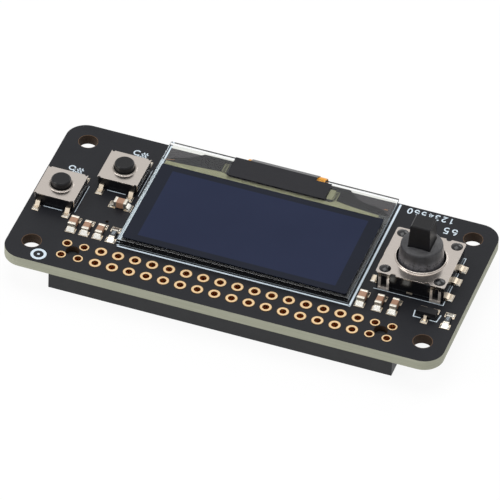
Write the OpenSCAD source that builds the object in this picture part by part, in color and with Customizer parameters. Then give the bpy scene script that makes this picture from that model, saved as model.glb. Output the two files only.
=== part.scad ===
// Add-on board with a small monochrome display, two push buttons and a five-way joystick.
// The origin is the centre of the four mounting holes, on the underside of the board.
// +X runs along the long side to the joystick, +Y to the display's flex, +Z out of the display.

/* [Board] */
// Distance between the mounting holes along X
hole_span_x = 58; // [57.5:0.5:60]
// Distance between the mounting holes along Y
hole_span_y = 23; // [23:0.5:24]
// Diameter of a mounting hole
hole_d = 2.75; // [2.2:0.05:3]
// Hole centre to the short edge of the board
edge_side = 3.5; // [3.3:0.1:4.5]
// Hole centre to the back edge of the board
edge_back = 3.5; // [3.3:0.1:4.5]
// Hole centre to the front edge of the board
edge_front = 4.05; // [3.95:0.05:5]
// Thickness of the board
board_t = 1.6; // [1.2:0.1:2]
// Radius of the board's corners
corner_r = 3; // [1:0.25:3.3]
// Diameter of the small signal hole near the button
via_d = 0.5; // [0.3:0.05:0.8]

/* [Plated pin holes] */
// Distance between neighbouring pin holes
pitch = 2.54; // [2.5:0.01:2.54]
// Number of pin holes in each of the two rows
columns = 20; // [16:2:20]
// Clear bore of a plated pin hole
plated_bore = 1; // [0.85:0.05:1.05]
// Thickness of the plating in the bore
plating_t = 0.05; // [0.03:0.01:0.07]
// Diameter of the ring pads
pad_d = 1.78; // [1.6:0.02:1.9]
// Diameter of the ring pads next to a locating peg
end_pad_d = 1.4; // [1.3:0.02:1.44]
// Thickness of the pads and lands
pad_t = 0.05; // [0.03:0.01:0.06]

/* [Pin socket] */
// Width of the socket across its two rows
socket_w = 5; // [4.8:0.1:5.2]
// Height of the socket below the board
socket_h = 3.95; // [3.5:0.05:5]
// Socket length beyond its last column pitch
socket_margin = 0.2; // [0.1:0.05:0.4]
// Height of the feet that hold the socket off the board
socket_foot_h = 0.1; // [0.08:0.01:0.14]
// Diameter of the socket's locating pegs
peg_d = 1.8; // [1.5:0.05:1.85]
// Diameter of the peg holes in the board
peg_hole_d = 2; // [1.95:0.05:2.1]
// Depth of the peg's top below the top of the board
peg_recess = 0.9; // [0.3:0.1:1]
// Size of a pin chamber along X
chamber_x = 1; // [0.9:0.05:1.2]
// Size of a pin chamber along Y
chamber_y = 1.7; // [1.6:0.05:1.8]
// Thickness of a contact's strip
contact_t = 0.15; // [0.1:0.01:0.16]
// Width of a contact's strip
contact_w = 0.8; // [0.6:0.05:0.85]
// Gap between a contact's two leaves at their waist
contact_gap = 0.5; // [0.4:0.05:0.6]
// Reach of a contact's foot beyond the socket
contact_foot = 1; // [0.8:0.05:1.1]

/* [Display] */
// Middle of the display glass along X
display_x = -0.35; // [-0.6:0.05:0.2]
// Middle of the display glass along Y
display_y = 3.35; // [3.2:0.05:3.4]
// Length of the display glass
glass_l = 34.4; // [33:0.1:34.5]
// Depth of the display glass
glass_w = 22.7; // [22.2:0.1:22.8]
// Depth of the bare ledge that carries the driver
ledge_w = 3.8; // [3.4:0.1:4.2]
// Thickness of the front glass
glass_t = 0.5; // [0.4:0.05:0.7]
// Thickness of the rear cap glass
cap_t = 0.45; // [0.42:0.01:0.6]
// Thickness of the pixel layer between the glasses
pixel_t = 0.03; // [0.02:0.01:0.05]
// Length of the lit area
active_l = 29.4; // [28:0.1:30]
// Depth of the lit area
active_w = 14.7; // [14:0.1:15]
// Lit area's middle in front of the polarizer's middle
active_shift = 0; // [-0.3:0.1:0.3]
// Thickness of the polarizer
polarizer_t = 0.15; // [0.1:0.01:0.2]
// Polarizer's distance from the sides and front of the glass
polarizer_inset = 0.55; // [0.3:0.05:0.7]
// Depth of the polarizer
polarizer_w = 17; // [16.5:0.1:17.4]
// Thickness of the adhesive under the display
adhesive_t = 0.15; // [0.13:0.01:0.25]
// Distance from the cap glass edge to the adhesive
adhesive_inset = 1; // [0.5:0.1:2]
// Length of the driver chip
driver_l = 9.6; // [8:0.1:11]
// Depth of the driver chip
driver_w = 1.1; // [0.8:0.05:1.2]
// Height of the driver chip
driver_h = 0.3; // [0.25:0.01:0.35]
// Cap glass to the driver chip
driver_gap = 0.5; // [0.3:0.05:0.6]

/* [Flex and light shield] */
// Width of the flex
flex_w = 11.8; // [11:0.1:13]
// Middle of the flex to the right of the middle of the glass
flex_shift = 0.2; // [0:0.05:0.4]
// Thickness of the flex
flex_t = 0.1; // [0.08:0.01:0.12]
// Overlap of the flex under the ledge of the glass
flex_bond = 1.3; // [0.9:0.1:1.4]
// Middle of the bend behind the back edge of the board
flex_reach = 0.2; // [0.2:0.05:0.5]
// Length of the tail under the board
flex_tail = 5; // [4:0.5:8]
// Number of soldered tracks on the tail
tail_tracks = 14; // [10:1:16]
// Pitch of the tracks on the tail
tail_pitch = 0.7; // [0.6:0.05:0.7]
// Thickness of the light shield tape
shield_t = 0.08; // [0.05:0.01:0.1]
// Width of the tape on the glass
shield_w = 14.7; // [14:0.1:16]
// Width of the tape where it wraps round the flex
shield_wrap_w = 10.1; // [9:0.1:10.7]
// Middle of the wrap to the left of the middle of the glass
wrap_shift = 0.1; // [0:0.05:0.2]
// Depth of the corner cut from the tape to the right of the wrap
shield_cut = 0.6; // [0.4:0.1:1]
// Distance from the polarizer to the tape
shield_gap = 1.1; // [0.5:0.1:1.5]

/* [Push buttons] */
// Gap between the display glass and the back button's cover
key_glass_gap = 0.9; // [0.7:0.05:1.2]
// Gap along X between the two buttons' covers
key_key_gap = 1.2; // [1:0.05:1.4]
// Middle of the back button along Y
button_5_y = 5.85; // [5.75:0.05:6.1]
// Distance along Y from the side button's middle to the back button's
key_stagger = 6.5; // [6.2:0.05:6.7]
// Width of the steel cover along X
key_w = 6; // [5.8:0.05:6.1]
// Depth of the steel cover along Y
key_l = 6.2; // [6:0.05:6.3]
// Height of the cover above the board
key_h = 1.9; // [1.8:0.05:2.2]
// Thickness of the cover sheet
key_sheet = 0.15; // [0.1:0.01:0.16]
// Depth that the cover's side flanges reach down
key_flange = 1.2; // [0.7:0.05:1.3]
// Diameter of the plunger where it leaves the cover
plunger_d = 3.2; // [2.6:0.05:3.3]
// Gap between the plunger and the cover's hole
plunger_gap = 0.1; // [0.06:0.01:0.1]
// Height of the plunger above the cover
plunger_h = 1.25; // [0.7:0.05:1.5]
// Chamfer round the top of the plunger
plunger_ease = 0.2; // [0.1:0.05:0.3]
// Travel of the plunger
key_travel = 0.25; // [0.15:0.05:0.25]
// Thickness of the button's floor
key_floor = 0.45; // [0.35:0.05:0.45]
// Diameter of the snap dome
snap_d = 4; // [3.6:0.1:4.2]
// Rise of the snap dome
snap_h = 0.3; // [0.2:0.05:0.3]
// Thickness of the snap dome
snap_t = 0.06; // [0.04:0.01:0.08]
// Distance of each lead from the button's middle along X
key_lead_x = 2.25; // [2.1:0.05:2.35]
// Width of a button lead
key_lead_w = 0.65; // [0.5:0.05:0.75]
// Thickness of a button lead
key_lead_t = 0.15; // [0.1:0.01:0.2]
// Reach of a lead beyond the cover
key_lead_reach = 1.35; // [1.2:0.05:1.5]

/* [Joystick] */
// Gap between the display glass and the joystick's cover
joy_glass_gap = 2.3; // [2.2:0.05:2.5]
// Middle of the joystick along Y
joy_y = 1.85; // [1.8:0.05:2]
// Width of the joystick's moulded base along X
joy_base_w = 9.9; // [9.6:0.05:10]
// Depth of the joystick's moulded base along Y
joy_base_l = 9.75; // [9.6:0.05:9.9]
// Height of the moulded base
joy_base_h = 2.8; // [2.75:0.05:3.2]
// Thickness of the joystick cover
joy_sheet = 0.2; // [0.15:0.01:0.25]
// Width of the joystick cover along X
joy_cover_w = 10.2; // [10:0.05:10.2]
// Clear radius of the cover's opening
joy_hole_r = 3.5; // [3.5:0.01:3.56]
// Wall of the raised collar round the opening
collar_wall = 0.2; // [0.15:0.01:0.22]
// Height of the raised collar above the cover
collar_h = 0.3; // [0.2:0.05:0.35]
// Distance of the moulded studs from the middle, both ways
stud_offset = 4; // [3.98:0.01:4.02]
// Diameter of a moulded stud
stud_d = 1.6; // [1.4:0.05:1.65]
// Rise of a stud's domed head
head_rise = 0.28; // [0.1:0.02:0.35]
// Gap round a stud in the cover
stud_gap = 0.04; // [0.03:0.01:0.05]
// Distance of the cover's straps from the middle
strap_x = 3.8; // [3.75:0.05:3.85]
// Width of a strap
strap_w = 1.6; // [1.5:0.05:1.65]
// Width of the window in a strap
strap_window = 0.85; // [0.6:0.05:1]
// Distance of the cover's edge notches from the middle
notch_x = 2.5; // [2.4:0.05:2.52]
// Radius of an edge notch
notch_r = 0.4; // [0.3:0.05:0.4]
// Radius of the round well in the base
well_r = 4.4; // [4.4:0.01:4.5]
// Thickness of the base's floor
joy_floor = 0.6; // [0.5:0.05:0.6]
// Height of the tilt axes above the board
pivot_h = 1.9; // [1.88:0.01:1.95]
// Travel of the stick's centre push
push_travel = 0.25; // [0.15:0.05:0.25]
// Inner radius of the pivot ring
ring_r = 3.55; // [3.5:0.01:3.6]
// Outer radius of the pivot ring
ring_outer_r = 4.15; // [4.1:0.01:4.18]
// Height of the pivot ring
ring_h = 0.7; // [0.6:0.05:0.7]
// Radius of the ring's pins and the dome's pins
pivot_r = 0.2; // [0.15:0.01:0.22]
// Running gap round a pin
pivot_gap = 0.04; // [0.02:0.01:0.06]
// Radius of the dome at its skirt
dome_r = 3.25; // [3.1:0.01:3.26]
// Radius of the dome at its crest
crest_r = 3; // [2.8:0.05:3.1]
// Height of the dome's crest above the board
crest_h = 5.65; // [5.2:0.05:6]
// Radius of the dome's round shoulder
crest_ease = 0.35; // [0.2:0.05:0.4]
// Wall of the dome
dome_wall = 0.5; // [0.4:0.05:0.5]
// Height of the dome's crown above its crest
crown_rise = 0.45; // [0.3:0.05:0.6]
// Width of the stick where it leaves the dome
stick_w = 3.2; // [3:0.05:3.3]
// Width of the stick at its top
stick_top_w = 2.9; // [2.7:0.05:3]
// Height of the stick's top above the board
stick_h = 9.65; // [8:0.05:11]
// Gap between the stick and the dome
stick_gap = 0.06; // [0.04:0.01:0.08]
// Radius of the push stem under the stick
stem_r = 0.7; // [0.5:0.05:0.8]
// Distance of the side contacts from the middle
contact_ring_r = 2.7; // [2.5:0.05:2.8]
// Radius of a joystick contact dome
joy_snap_r = 0.9; // [0.7:0.05:1]
// Rise of a joystick contact dome
joy_snap_h = 0.3; // [0.2:0.05:0.3]
// Back terminals of the joystick, behind its middle
joy_lead_back = 2.9; // [2.7:0.05:3.1]
// Middle terminals of the joystick, behind its middle
joy_lead_mid = 0.1; // [-0.1:0.05:0.3]
// Front terminals of the joystick, in front of its middle
joy_lead_front = 3.4; // [3.2:0.05:3.6]
// Width of a joystick terminal
joy_lead_w = 1.2; // [1:0.05:1.4]
// Reach of a joystick terminal beyond the base
joy_lead_reach = 0.95; // [0.8:0.05:1.2]
// Thickness of a joystick terminal
joy_lead_t = 0.15; // [0.1:0.01:0.2]

/* [Small parts] */
// Length of a chip capacitor
chip_l = 1.9; // [1.7:0.05:2]
// Width of a chip capacitor
chip_w = 1.2; // [1:0.05:1.25]
// Height of a chip capacitor
chip_h = 1.05; // [0.8:0.05:1.3]
// Width of the slimmer chip capacitors
slim_chip_w = 1.05; // [0.9:0.05:1.15]
// Height of the two lower chip capacitors
low_chip_h = 0.8; // [0.6:0.05:1]
// Length of a chip's metal end
chip_end = 0.42; // [0.3:0.02:0.5]
// Length of a chip resistor
resistor_l = 1.6; // [1.5:0.05:1.7]
// Width of a chip resistor
resistor_w = 0.9; // [0.8:0.05:1]
// Height of a chip resistor
resistor_h = 0.4; // [0.3:0.05:0.5]
// Distance from a chip's middle to the outer end of its land
land_reach = 1.7; // [1.5:0.05:1.75]
// Width of a chip's land
land_w = 1.45; // [1.3:0.05:1.5]
// Length of a chip's land
land_l = 1.05; // [0.9:0.05:1.2]
// Middle of the row of small parts, behind the middle of the pin holes
chip_row = 5.2; // [5.1:0.05:5.3]
// Distance between neighbouring chips left of the display
chip_pitch = 2; // [1.9:0.05:2.1]
// Middle of the nearest chip left of the display, from the glass
chip_glass_gap = 1.1; // [1:0.05:1.2]
// Height of the solder against a chip's end
fillet_h = 0.45; // [0.3:0.05:0.5]
// Length of the transistor body
sot_l = 2.9; // [2.7:0.05:3.1]
// Depth of the transistor body
sot_w = 1.35; // [1.2:0.05:1.4]
// Height of the transistor body
sot_h = 1; // [0.9:0.05:1.2]
// Thickness of a transistor lead
sot_lead_t = 0.12; // [0.08:0.01:0.15]
// Distance between the transistor's paired leads
sot_pitch = 1.9; // [1.8:0.05:2]

/* [Hidden] */
$fn = 48;
eps = 0.01;

// Board outline and the row of pin holes
board_left = -hole_span_x / 2 - edge_side;
board_right = hole_span_x / 2 + edge_side;
board_front = -hole_span_y / 2 - edge_front;
board_back = hole_span_y / 2 + edge_back;
header_y = -hole_span_y / 2;
plating_gap = 0.01;
drill_d = plated_bore + 2 * (plating_t + plating_gap);
peg_x = (columns / 2 - 1) * pitch;

// Pin socket
socket_l = columns * pitch + socket_margin;
foot_bar = 0.45;
contact_drop = 3;
foot_land_l = contact_foot + 0.25;
foot_land_w = 1.1;

// Display stack, from the board up
glass_left = display_x - glass_l / 2;
glass_right = display_x + glass_l / 2;
adhesive_z = board_t;
cap_z = adhesive_z + adhesive_t;
pixel_z = cap_z + cap_t;
glass_z = pixel_z + pixel_t;
glass_top = glass_z + glass_t;
glass_front = display_y - glass_w / 2;
glass_back = display_y + glass_w / 2;
cap_w = glass_w - ledge_w;
cap_back = glass_front + cap_w;
polarizer_front = glass_front + polarizer_inset;
polarizer_back = polarizer_front + polarizer_w;
active_y = (polarizer_front + polarizer_back) / 2 - active_shift;

// Flex: a half round bend from under the glass to under the board
flex_x = display_x + flex_shift;
flex_top = glass_z;
tail_bottom = -pad_t - flex_t;
bend_r = (flex_top - tail_bottom) / 2;
bend_z = (flex_top + tail_bottom) / 2;
bend_y = board_back + flex_reach;
tail_front = board_back - flex_tail;

// Light shield tape: leaves the glass and meets the bend where it is tangent to it
shield_z = glass_top;
shield_front = polarizer_back + shield_gap;
wrap_x = display_x - wrap_shift;
wrap_r = bend_r + eps;
corner_y = glass_back - bend_y;
corner_z = shield_z - bend_z;
corner_far = norm([corner_y, corner_z]);
tangent_angle = atan2(corner_z, corner_y) - acos(wrap_r / corner_far);
wrap_end_angle = -35;

// Push buttons, placed from the display glass outwards
button_5_x = glass_left - key_glass_gap - key_w / 2;
button_6_x = button_5_x - key_w - key_key_gap;
button_6_y = button_5_y - key_stagger;
key_body_h = key_h - key_sheet;
key_base_w = key_w - 2 * key_sheet - 2 * eps;
key_base_l = key_l - 0.2;
key_well_r = 2.25;
key_hole_r = plunger_d / 2 + plunger_gap;
plunger_flange_r = min(key_hole_r + 0.35, key_well_r - 0.1);
plunger_foot_z = key_floor + snap_t + snap_h + key_travel + 0.05;
relief_r = 0.2;
key_rim = 0.1;
key_rim_w = 0.12;
key_lead_z = 0.55;
key_reach = key_l / 2 + key_lead_reach - key_base_l / 2;

// Joystick
joy_x = glass_right + joy_glass_gap + joy_cover_w / 2;
joy_cover_top = joy_base_h + joy_sheet;
strap_y = joy_base_l / 2 + eps;
joy_cover_l = 2 * (strap_y + joy_sheet);
stud_top = joy_cover_top + 0.02;
pin_reach = well_r + 0.3;
joy_lead_y = [joy_lead_back, joy_lead_mid, -joy_lead_front];
skirt_z = pivot_h - 0.35;
inner_top = crest_h - 0.35;
stick_flange_w = stick_w + 0.6;
stick_flange_top = inner_top - 0.05;
stem_bottom = joy_floor + snap_t + joy_snap_h + push_travel + 0.12;
tab_w = 0.9;
joy_lead_rise = 0.15;

// Small parts
chip_y = header_y + chip_row;
chip_left = glass_left - chip_glass_gap;
capacitor_x = [chip_left - 3 * chip_pitch, chip_left - 2 * chip_pitch, chip_left - chip_pitch,
    chip_left - chip_pitch * 0.58, glass_right + chip_glass_gap * 1.4, joy_x - 3.3, joy_x - 1.1];
capacitor_w = [chip_w, slim_chip_w, slim_chip_w, chip_w, chip_w, slim_chip_w, slim_chip_w];
capacitor_h = [chip_h, low_chip_h, low_chip_h, chip_h + 0.1, chip_h, chip_h, chip_h];
resistor_x = [chip_left, joy_x + 6.7];
sot_x = joy_x + 3.65;
sot_y = chip_y + 0.05;
side_chip_y = chip_y + 6.2;
via_x = capacitor_x[2] + 0.15;
via_y = chip_y + 2.45;
sot_lead_w = 0.42;
sot_reach = 0.75;
sot_rise = sot_h / 2 - sot_lead_t / 2 + 0.05;
laminate = [0.16, 0.17, 0.19];
gold = [0.83, 0.69, 0.45];
tin = [0.8, 0.8, 0.78];
steel = [0.75, 0.72, 0.7];
black = [0.12, 0.12, 0.13];

// A flat rectangle with round corners, centred on the origin
module round_rect(l, w, r) {
    square([l - 2 * r, w], center = true);
    square([l, w - 2 * r], center = true);
    for (sx = [-1, 1], sy = [-1, 1])
        translate([sx * (l / 2 - r), sy * (w / 2 - r)])
            circle(r);
}

// A flat rectangle with cut corners, centred on the origin
module cut_rect(l, w, c) {
    x = l / 2;
    y = w / 2;
    polygon([[-x + c, -y], [x - c, -y], [x, -y + c], [x, y - c],
        [x - c, y], [-x + c, y], [-x, y - c], [-x, -y + c]]);
}

// A box that stands on z = 0 with all its edges eased by c
module eased_box(l, w, h, c) {
    intersection() {
        linear_extrude(h)
            cut_rect(l, w, c);
        translate([0, w / 2, h / 2])
            rotate([90, 0, 0])
                linear_extrude(w)
                    cut_rect(l, h, c);
        translate([-l / 2, 0, h / 2])
            rotate([90, 0, 90])
                linear_extrude(l)
                    cut_rect(w, h, c);
    }
}

// Extrudes a profile drawn in the plane of Y and Z along X, centred on the origin
module along_x(l) {
    translate([-l / 2, 0, 0])
        rotate([90, 0, 90])
            linear_extrude(l)
                children();
}

// A strip that leaves a wall at y = 0 and z = rise, and ends in a foot on z = 0
module gull_lead(w, t, rise, reach) {
    knee = reach * 0.2;
    heel = reach * 0.5;
    inside = t * tan(atan2(rise, heel - knee) / 2);
    along_x(w)
        polygon([[0, rise], [0, rise + t], [-knee, rise + t], [-heel, t], [-reach, t],
            [-reach, 0], [inside - heel, 0], [inside - knee, rise]]);
}

// A thin spherical cap with its rim on z = 0
module snap_dome(r, h, t) {
    ball_r = (r * r + h * h) / (2 * h);
    intersection() {
        translate([0, 0, h - ball_r])
            difference() {
                sphere(ball_r + t, $fn = 96);
                sphere(ball_r, $fn = 96);
            }
        cylinder(r = r, h = h + 2 * t);
    }
}

// Solder that climbs a wall at y = 0 and runs out along -Y with a hollow face
module fillet(w, h, run) {
    along_x(w)
        difference() {
            polygon([[0, 0], [0, h], [-run * 0.12, h], [-run, 0.04], [-run, 0]]);
            translate([-run - 0.02, h + run * 0.5])
                circle(norm([run, h]) * 0.62);
        }
}

// A low block that narrows from its foot to its top
module mound(l0, w0, l1, w1, h) {
    intersection() {
        along_x(l0)
            polygon([[-w0 / 2, 0], [w0 / 2, 0], [w1 / 2, h], [-w1 / 2, h]]);
        rotate(90)
            along_x(w0)
                polygon([[-l0 / 2, 0], [l0 / 2, 0], [l1 / 2, h], [-l1 / 2, h]]);
    }
}

// Solder that wets the toe, sides and heel of a formed lead
module lead_solder(w, t, rise, reach) {
    difference() {
        translate([0, -reach * 0.75, 0])
            mound(w + 0.3, reach * 0.5 + 0.2, w + 0.06, reach * 0.5 + 0.04, t * 0.85);
        gull_lead(w, t, rise, reach);
    }
}

// Places its child at each of the pin holes
module each_pin() {
    for (column = [0:columns - 1], row = [-1, 1])
        translate([(column - (columns - 1) / 2) * pitch, header_y + row * pitch / 2, 0])
            children();
}

function beside_peg(column) = column < 2 || column > columns - 3;

module circuit_board() {
    color(laminate)
        difference() {
            translate([(board_left + board_right) / 2, (board_front + board_back) / 2, 0])
                linear_extrude(board_t)
                    round_rect(board_right - board_left, board_back - board_front, corner_r);
            for (sx = [-1, 1], sy = [-1, 1])
                translate([sx * hole_span_x / 2, sy * hole_span_y / 2, -1])
                    cylinder(d = hole_d, h = board_t + 2);
            for (sx = [-1, 1])
                translate([sx * peg_x, header_y, -1])
                    cylinder(d = peg_hole_d, h = board_t + 2);
            each_pin()
                translate([0, 0, -1])
                    cylinder(d = drill_d, h = board_t + 2, $fn = 24);
            translate([via_x, via_y, -1])
                cylinder(d = via_d, h = board_t + 2, $fn = 24);
        }
}

// Plated barrels with a ring pad on each face of the board
module plated_holes() {
    color(gold)
        for (column = [0:columns - 1], row = [-1, 1]) {
            ring_d = beside_peg(column) ? end_pad_d : pad_d;
            translate([(column - (columns - 1) / 2) * pitch, header_y + row * pitch / 2, 0])
                difference() {
                    union() {
                        cylinder(d = plated_bore + 2 * plating_t, h = board_t);
                        translate([0, 0, -pad_t])
                            cylinder(d = ring_d, h = pad_t);
                        translate([0, 0, board_t])
                            cylinder(d = ring_d, h = pad_t);
                    }
                    translate([0, 0, -1])
                        cylinder(d = plated_bore, h = board_t + 2);
                }
        }
}

// Places its children once at each end of a two-ended chip, facing outwards
module each_end(x, y, turn) {
    translate([x, y, board_t])
        rotate(turn)
            for (side = [0, 180])
                rotate(side)
                    children();
}

// The flat lands of one two-ended chip
module chip_lands() {
    translate([-land_w / 2, -land_reach, 0])
        cube([land_w, land_l, pad_t]);
}

// A land under the foot of a formed lead
module lead_land(l, w) {
    translate([-l / 2, -w / 2, 0])
        cube([l, w, pad_t]);
}

// The solder at one end of a two-ended chip
module chip_solder(l, w, h) {
    translate([0, -l / 2, pad_t])
        fillet(w - 0.1, h, land_reach - l / 2 - 0.08);
}

// Lands on the top of the board, and under it for the socket and the flex
module surface_lands() {
    color(tin) {
        for (i = [0:6])
            each_end(capacitor_x[i], i == 3 ? side_chip_y : chip_y, i == 3 ? 90 : 0)
                chip_lands();
        for (x = resistor_x)
            each_end(x, chip_y, 0)
                chip_lands();
        sot_lands();
        for (place = [[button_5_x, button_5_y], [button_6_x, button_6_y]])
            translate([place[0], place[1], board_t])
                for (sx = [-1, 1], sy = [-1, 1])
                    translate([sx * key_lead_x, sy * (key_l / 2 + key_lead_reach - 0.42), 0])
                        lead_land(key_lead_w + 0.35, 1.2);
        translate([joy_x, joy_y, board_t])
            for (sx = [-1, 1], y = joy_lead_y)
                translate([sx * (joy_base_w / 2 + joy_lead_reach - 0.35), y, 0])
                    lead_land(1, joy_lead_w + 0.3);
        for (column = [0:columns - 1], row = [-1, 1])
            translate([(column - (columns - 1) / 2) * pitch,
                header_y + row * (socket_w / 2 + foot_land_l / 2 - 0.05), -pad_t])
                translate([-foot_land_w / 2, -foot_land_l / 2, 0])
                    cube([foot_land_w, foot_land_l, pad_t]);
        for (i = [0:tail_tracks - 1])
            translate([flex_x + (i - (tail_tracks - 1) / 2) * tail_pitch - 0.2, tail_front - 0.4, -pad_t])
                cube([0.4, 2.4, pad_t]);
    }
}

module sot_lands() {
    lead_tip = sot_w / 2 + sot_reach * 0.75;
    translate([sot_x, sot_y, board_t]) {
        translate([0, -lead_tip, 0])
            lead_land(1, 1);
        for (sx = [-1, 1])
            translate([sx * sot_pitch / 2, lead_tip, 0])
                lead_land(1, 1);
    }
}

module solder_joints() {
    color("silver") {
        for (i = [0:6])
            each_end(capacitor_x[i], i == 3 ? side_chip_y : chip_y, i == 3 ? 90 : 0)
                chip_solder(chip_l, capacitor_w[i], fillet_h);
        for (x = resistor_x)
            each_end(x, chip_y, 0)
                chip_solder(resistor_l, resistor_w, resistor_h * 0.8);
        for (place = [[button_5_x, button_5_y], [button_6_x, button_6_y]])
            translate([place[0], place[1], board_t])
                each_key_lead()
                    lead_solder(key_lead_w, key_lead_t, key_lead_z, key_reach);
        at_joystick()
            each_joy_lead()
                lead_solder(joy_lead_w, joy_lead_t, joy_lead_rise, joy_lead_reach);
        translate([sot_x, sot_y, board_t])
            each_sot_lead()
                lead_solder(sot_lead_w, sot_lead_t, sot_rise, sot_reach);
    }
}

// One spring leaf of a contact: down from the collar, in to the waist and out at its tip
module contact_leaf() {
    top = -pad_t;
    out = chamber_y / 2 - 0.12;
    waist = contact_gap / 2;
    low = -contact_drop;
    along_x(contact_w)
        polygon([[out, top], [out, top - 0.9], [waist + contact_t, low * 0.72],
            [waist + contact_t + 0.15, low], [waist + 0.15, low], [waist, low * 0.72],
            [out - contact_t, top - 0.9], [out - contact_t, top]]);
}

// A two-leaf contact round one pin, with its foot along +Y
module contact() {
    out = chamber_y / 2 - 0.12;
    foot_end = socket_w / 2 - pitch / 2 + contact_foot;
    contact_leaf();
    mirror([0, 1, 0])
        contact_leaf();
    translate([-contact_w / 2, -out, -pad_t - contact_t])
        difference() {
            cube([contact_w, out + foot_end, contact_t]);
            translate([0.1, contact_t, -1])
                cube([contact_w - 0.2, 2 * (out - contact_t), 3]);
        }
}

module header_contacts() {
    color(gold)
        for (column = [0:columns - 1], row = [-1, 1])
            translate([(column - (columns - 1) / 2) * pitch, header_y + row * pitch / 2, 0])
                rotate(row > 0 ? 0 : 180)
                    contact();
}

// Moulded socket: a pin chamber through it at each hole, with a groove for each foot
module header_housing() {
    top = -socket_foot_h;
    groove_h = contact_t + pad_t - socket_foot_h + 0.03;
    lead_in = 0.4;
    color(black)
        difference() {
            union() {
                translate([-socket_l / 2, header_y - socket_w / 2, -socket_h])
                    cube([socket_l, socket_w, socket_h + top]);
                for (sx = [-1, 1]) {
                    translate([sx * (socket_l - foot_bar) / 2 - foot_bar / 2,
                        header_y - socket_w / 2, top])
                        cube([foot_bar, socket_w, socket_foot_h]);
                    translate([sx * peg_x, header_y, top - eps])
                        cylinder(d = peg_d, h = board_t - peg_recess + socket_foot_h + eps);
                }
            }
            each_pin()
                translate([-chamber_x / 2, -chamber_y / 2, -socket_h - 1])
                    cube([chamber_x, chamber_y, socket_h + 1 + top + eps / 2]);
            each_pin()
                translate([-chamber_y / 2, -chamber_y / 2, -socket_h - 1])
                    cube([chamber_y, chamber_y, 1 + lead_in]);
            for (column = [0:columns - 1], row = [-1, 1])
                translate([(column - (columns - 1) / 2) * pitch - chamber_x / 2,
                    row > 0 ? header_y + pitch / 2 : header_y - socket_w / 2 - 1, top - groove_h])
                    cube([chamber_x, socket_w / 2 - pitch / 2 + 1, 1]);
        }
}

module display_adhesive() {
    color("white")
        translate([display_x, glass_front + cap_w / 2, adhesive_z])
            linear_extrude(adhesive_t)
                round_rect(glass_l - 2 * adhesive_inset, cap_w - 2 * adhesive_inset, 0.5);
}

// Rear glass that seals the pixels and leaves the ledge free
module display_cap_glass() {
    color([0.5, 0.55, 0.5, 0.6])
        translate([glass_left, glass_front, cap_z])
            cube([glass_l, cap_w, cap_t]);
}

module display_pixels() {
    color([0.2, 0.22, 0.3])
        translate([display_x - active_l / 2, active_y - active_w / 2, pixel_z])
            cube([active_l, active_w, pixel_t]);
}

module display_front_glass() {
    color([0.6, 0.65, 0.62, 0.5])
        translate([display_x, display_y, glass_z])
            eased_box(glass_l, glass_w, glass_t, 0.05);
}

module display_polarizer() {
    color([0.16, 0.17, 0.22])
        translate([display_x, (polarizer_front + polarizer_back) / 2, glass_top])
            linear_extrude(polarizer_t)
                round_rect(glass_l - 2 * polarizer_inset, polarizer_w, 0.3);
}

// Driver chip bonded under the ledge
module display_driver() {
    color([0.35, 0.36, 0.38])
        translate([display_x, cap_back + driver_gap + driver_w / 2, glass_z - driver_h])
            eased_box(driver_l, driver_w, driver_h, 0.04);
}

// Half ring in the plane of Y and Z, open towards -Y, between two angles from +Y
module bend_profile(r_in, r_out, from, to) {
    far = 2 * r_out;
    middle = (from + to) / 2;
    translate([bend_y, bend_z])
        intersection() {
            difference() {
                circle(r_out, $fn = 96);
                circle(r_in, $fn = 96);
            }
            polygon([[0, 0], far * [cos(from), sin(from)],
                2 * far * [cos(middle), sin(middle)], far * [cos(to), sin(to)]]);
        }
}

// Polyimide flex: bonded under the ledge, bent round the board's back edge, soldered below
module display_flex() {
    bond_front = glass_back - flex_bond;
    color("orange")
        translate([flex_x, 0, 0])
            along_x(flex_w) {
                bend_profile(bend_r - flex_t, bend_r, -90, 90);
                translate([bond_front, flex_top - flex_t])
                    square([bend_y - bond_front, flex_t]);
                translate([tail_front, tail_bottom])
                    square([bend_y - tail_front, flex_t]);
            }
}

// Black tape over the driver, carried down over the bend of the flex
module display_light_shield() {
    start = [corner_y, corner_z];
    touch = wrap_r * [cos(tangent_angle), sin(tangent_angle)];
    out = shield_t * [cos(tangent_angle), sin(tangent_angle)];
    tape_l = glass_back - shield_front;
    color([0.15, 0.15, 0.16]) {
        difference() {
            translate([display_x - shield_w / 2, shield_front, shield_z])
                cube([shield_w, tape_l, shield_t]);
            translate([wrap_x + shield_wrap_w / 2, glass_back - shield_cut, shield_z - 1])
                cube([shield_w, shield_cut + 1, 2]);
        }
        translate([wrap_x, 0, 0])
            along_x(shield_wrap_w) {
                translate([bend_y, bend_z])
                    polygon([start, touch, touch + out, start + out, start + [0, shield_t],
                        start + [-0.3, shield_t], start + [-0.3, 0]]);
                bend_profile(wrap_r, wrap_r + shield_t, wrap_end_angle, tangent_angle);
            }
    }
}

// Rim drawn up round a hole in a sheet, with a rolled lip and a hollow fillet at its root
module drawn_rim(r, wall, h, root) {
    rotate_extrude($fn = 72) {
        translate([r, 0])
            square([wall, h - wall / 2]);
        translate([r + wall / 2, h - wall / 2])
            circle(d = wall, $fn = 24);
        difference() {
            translate([r + wall / 2, 0])
                square([wall / 2 + root, root]);
            translate([r + wall + root, root])
                circle(root, $fn = 32);
        }
    }
}

// Moulded base of a push button, with a round well for the snap dome and plunger
module key_base() {
    color(black)
        difference() {
            translate([0, 0, eps])
                eased_box(key_base_w, key_base_l, key_body_h - eps, 0.12);
            translate([0, 0, key_floor])
                cylinder(r = key_well_r, h = key_body_h);
        }
}

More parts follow.
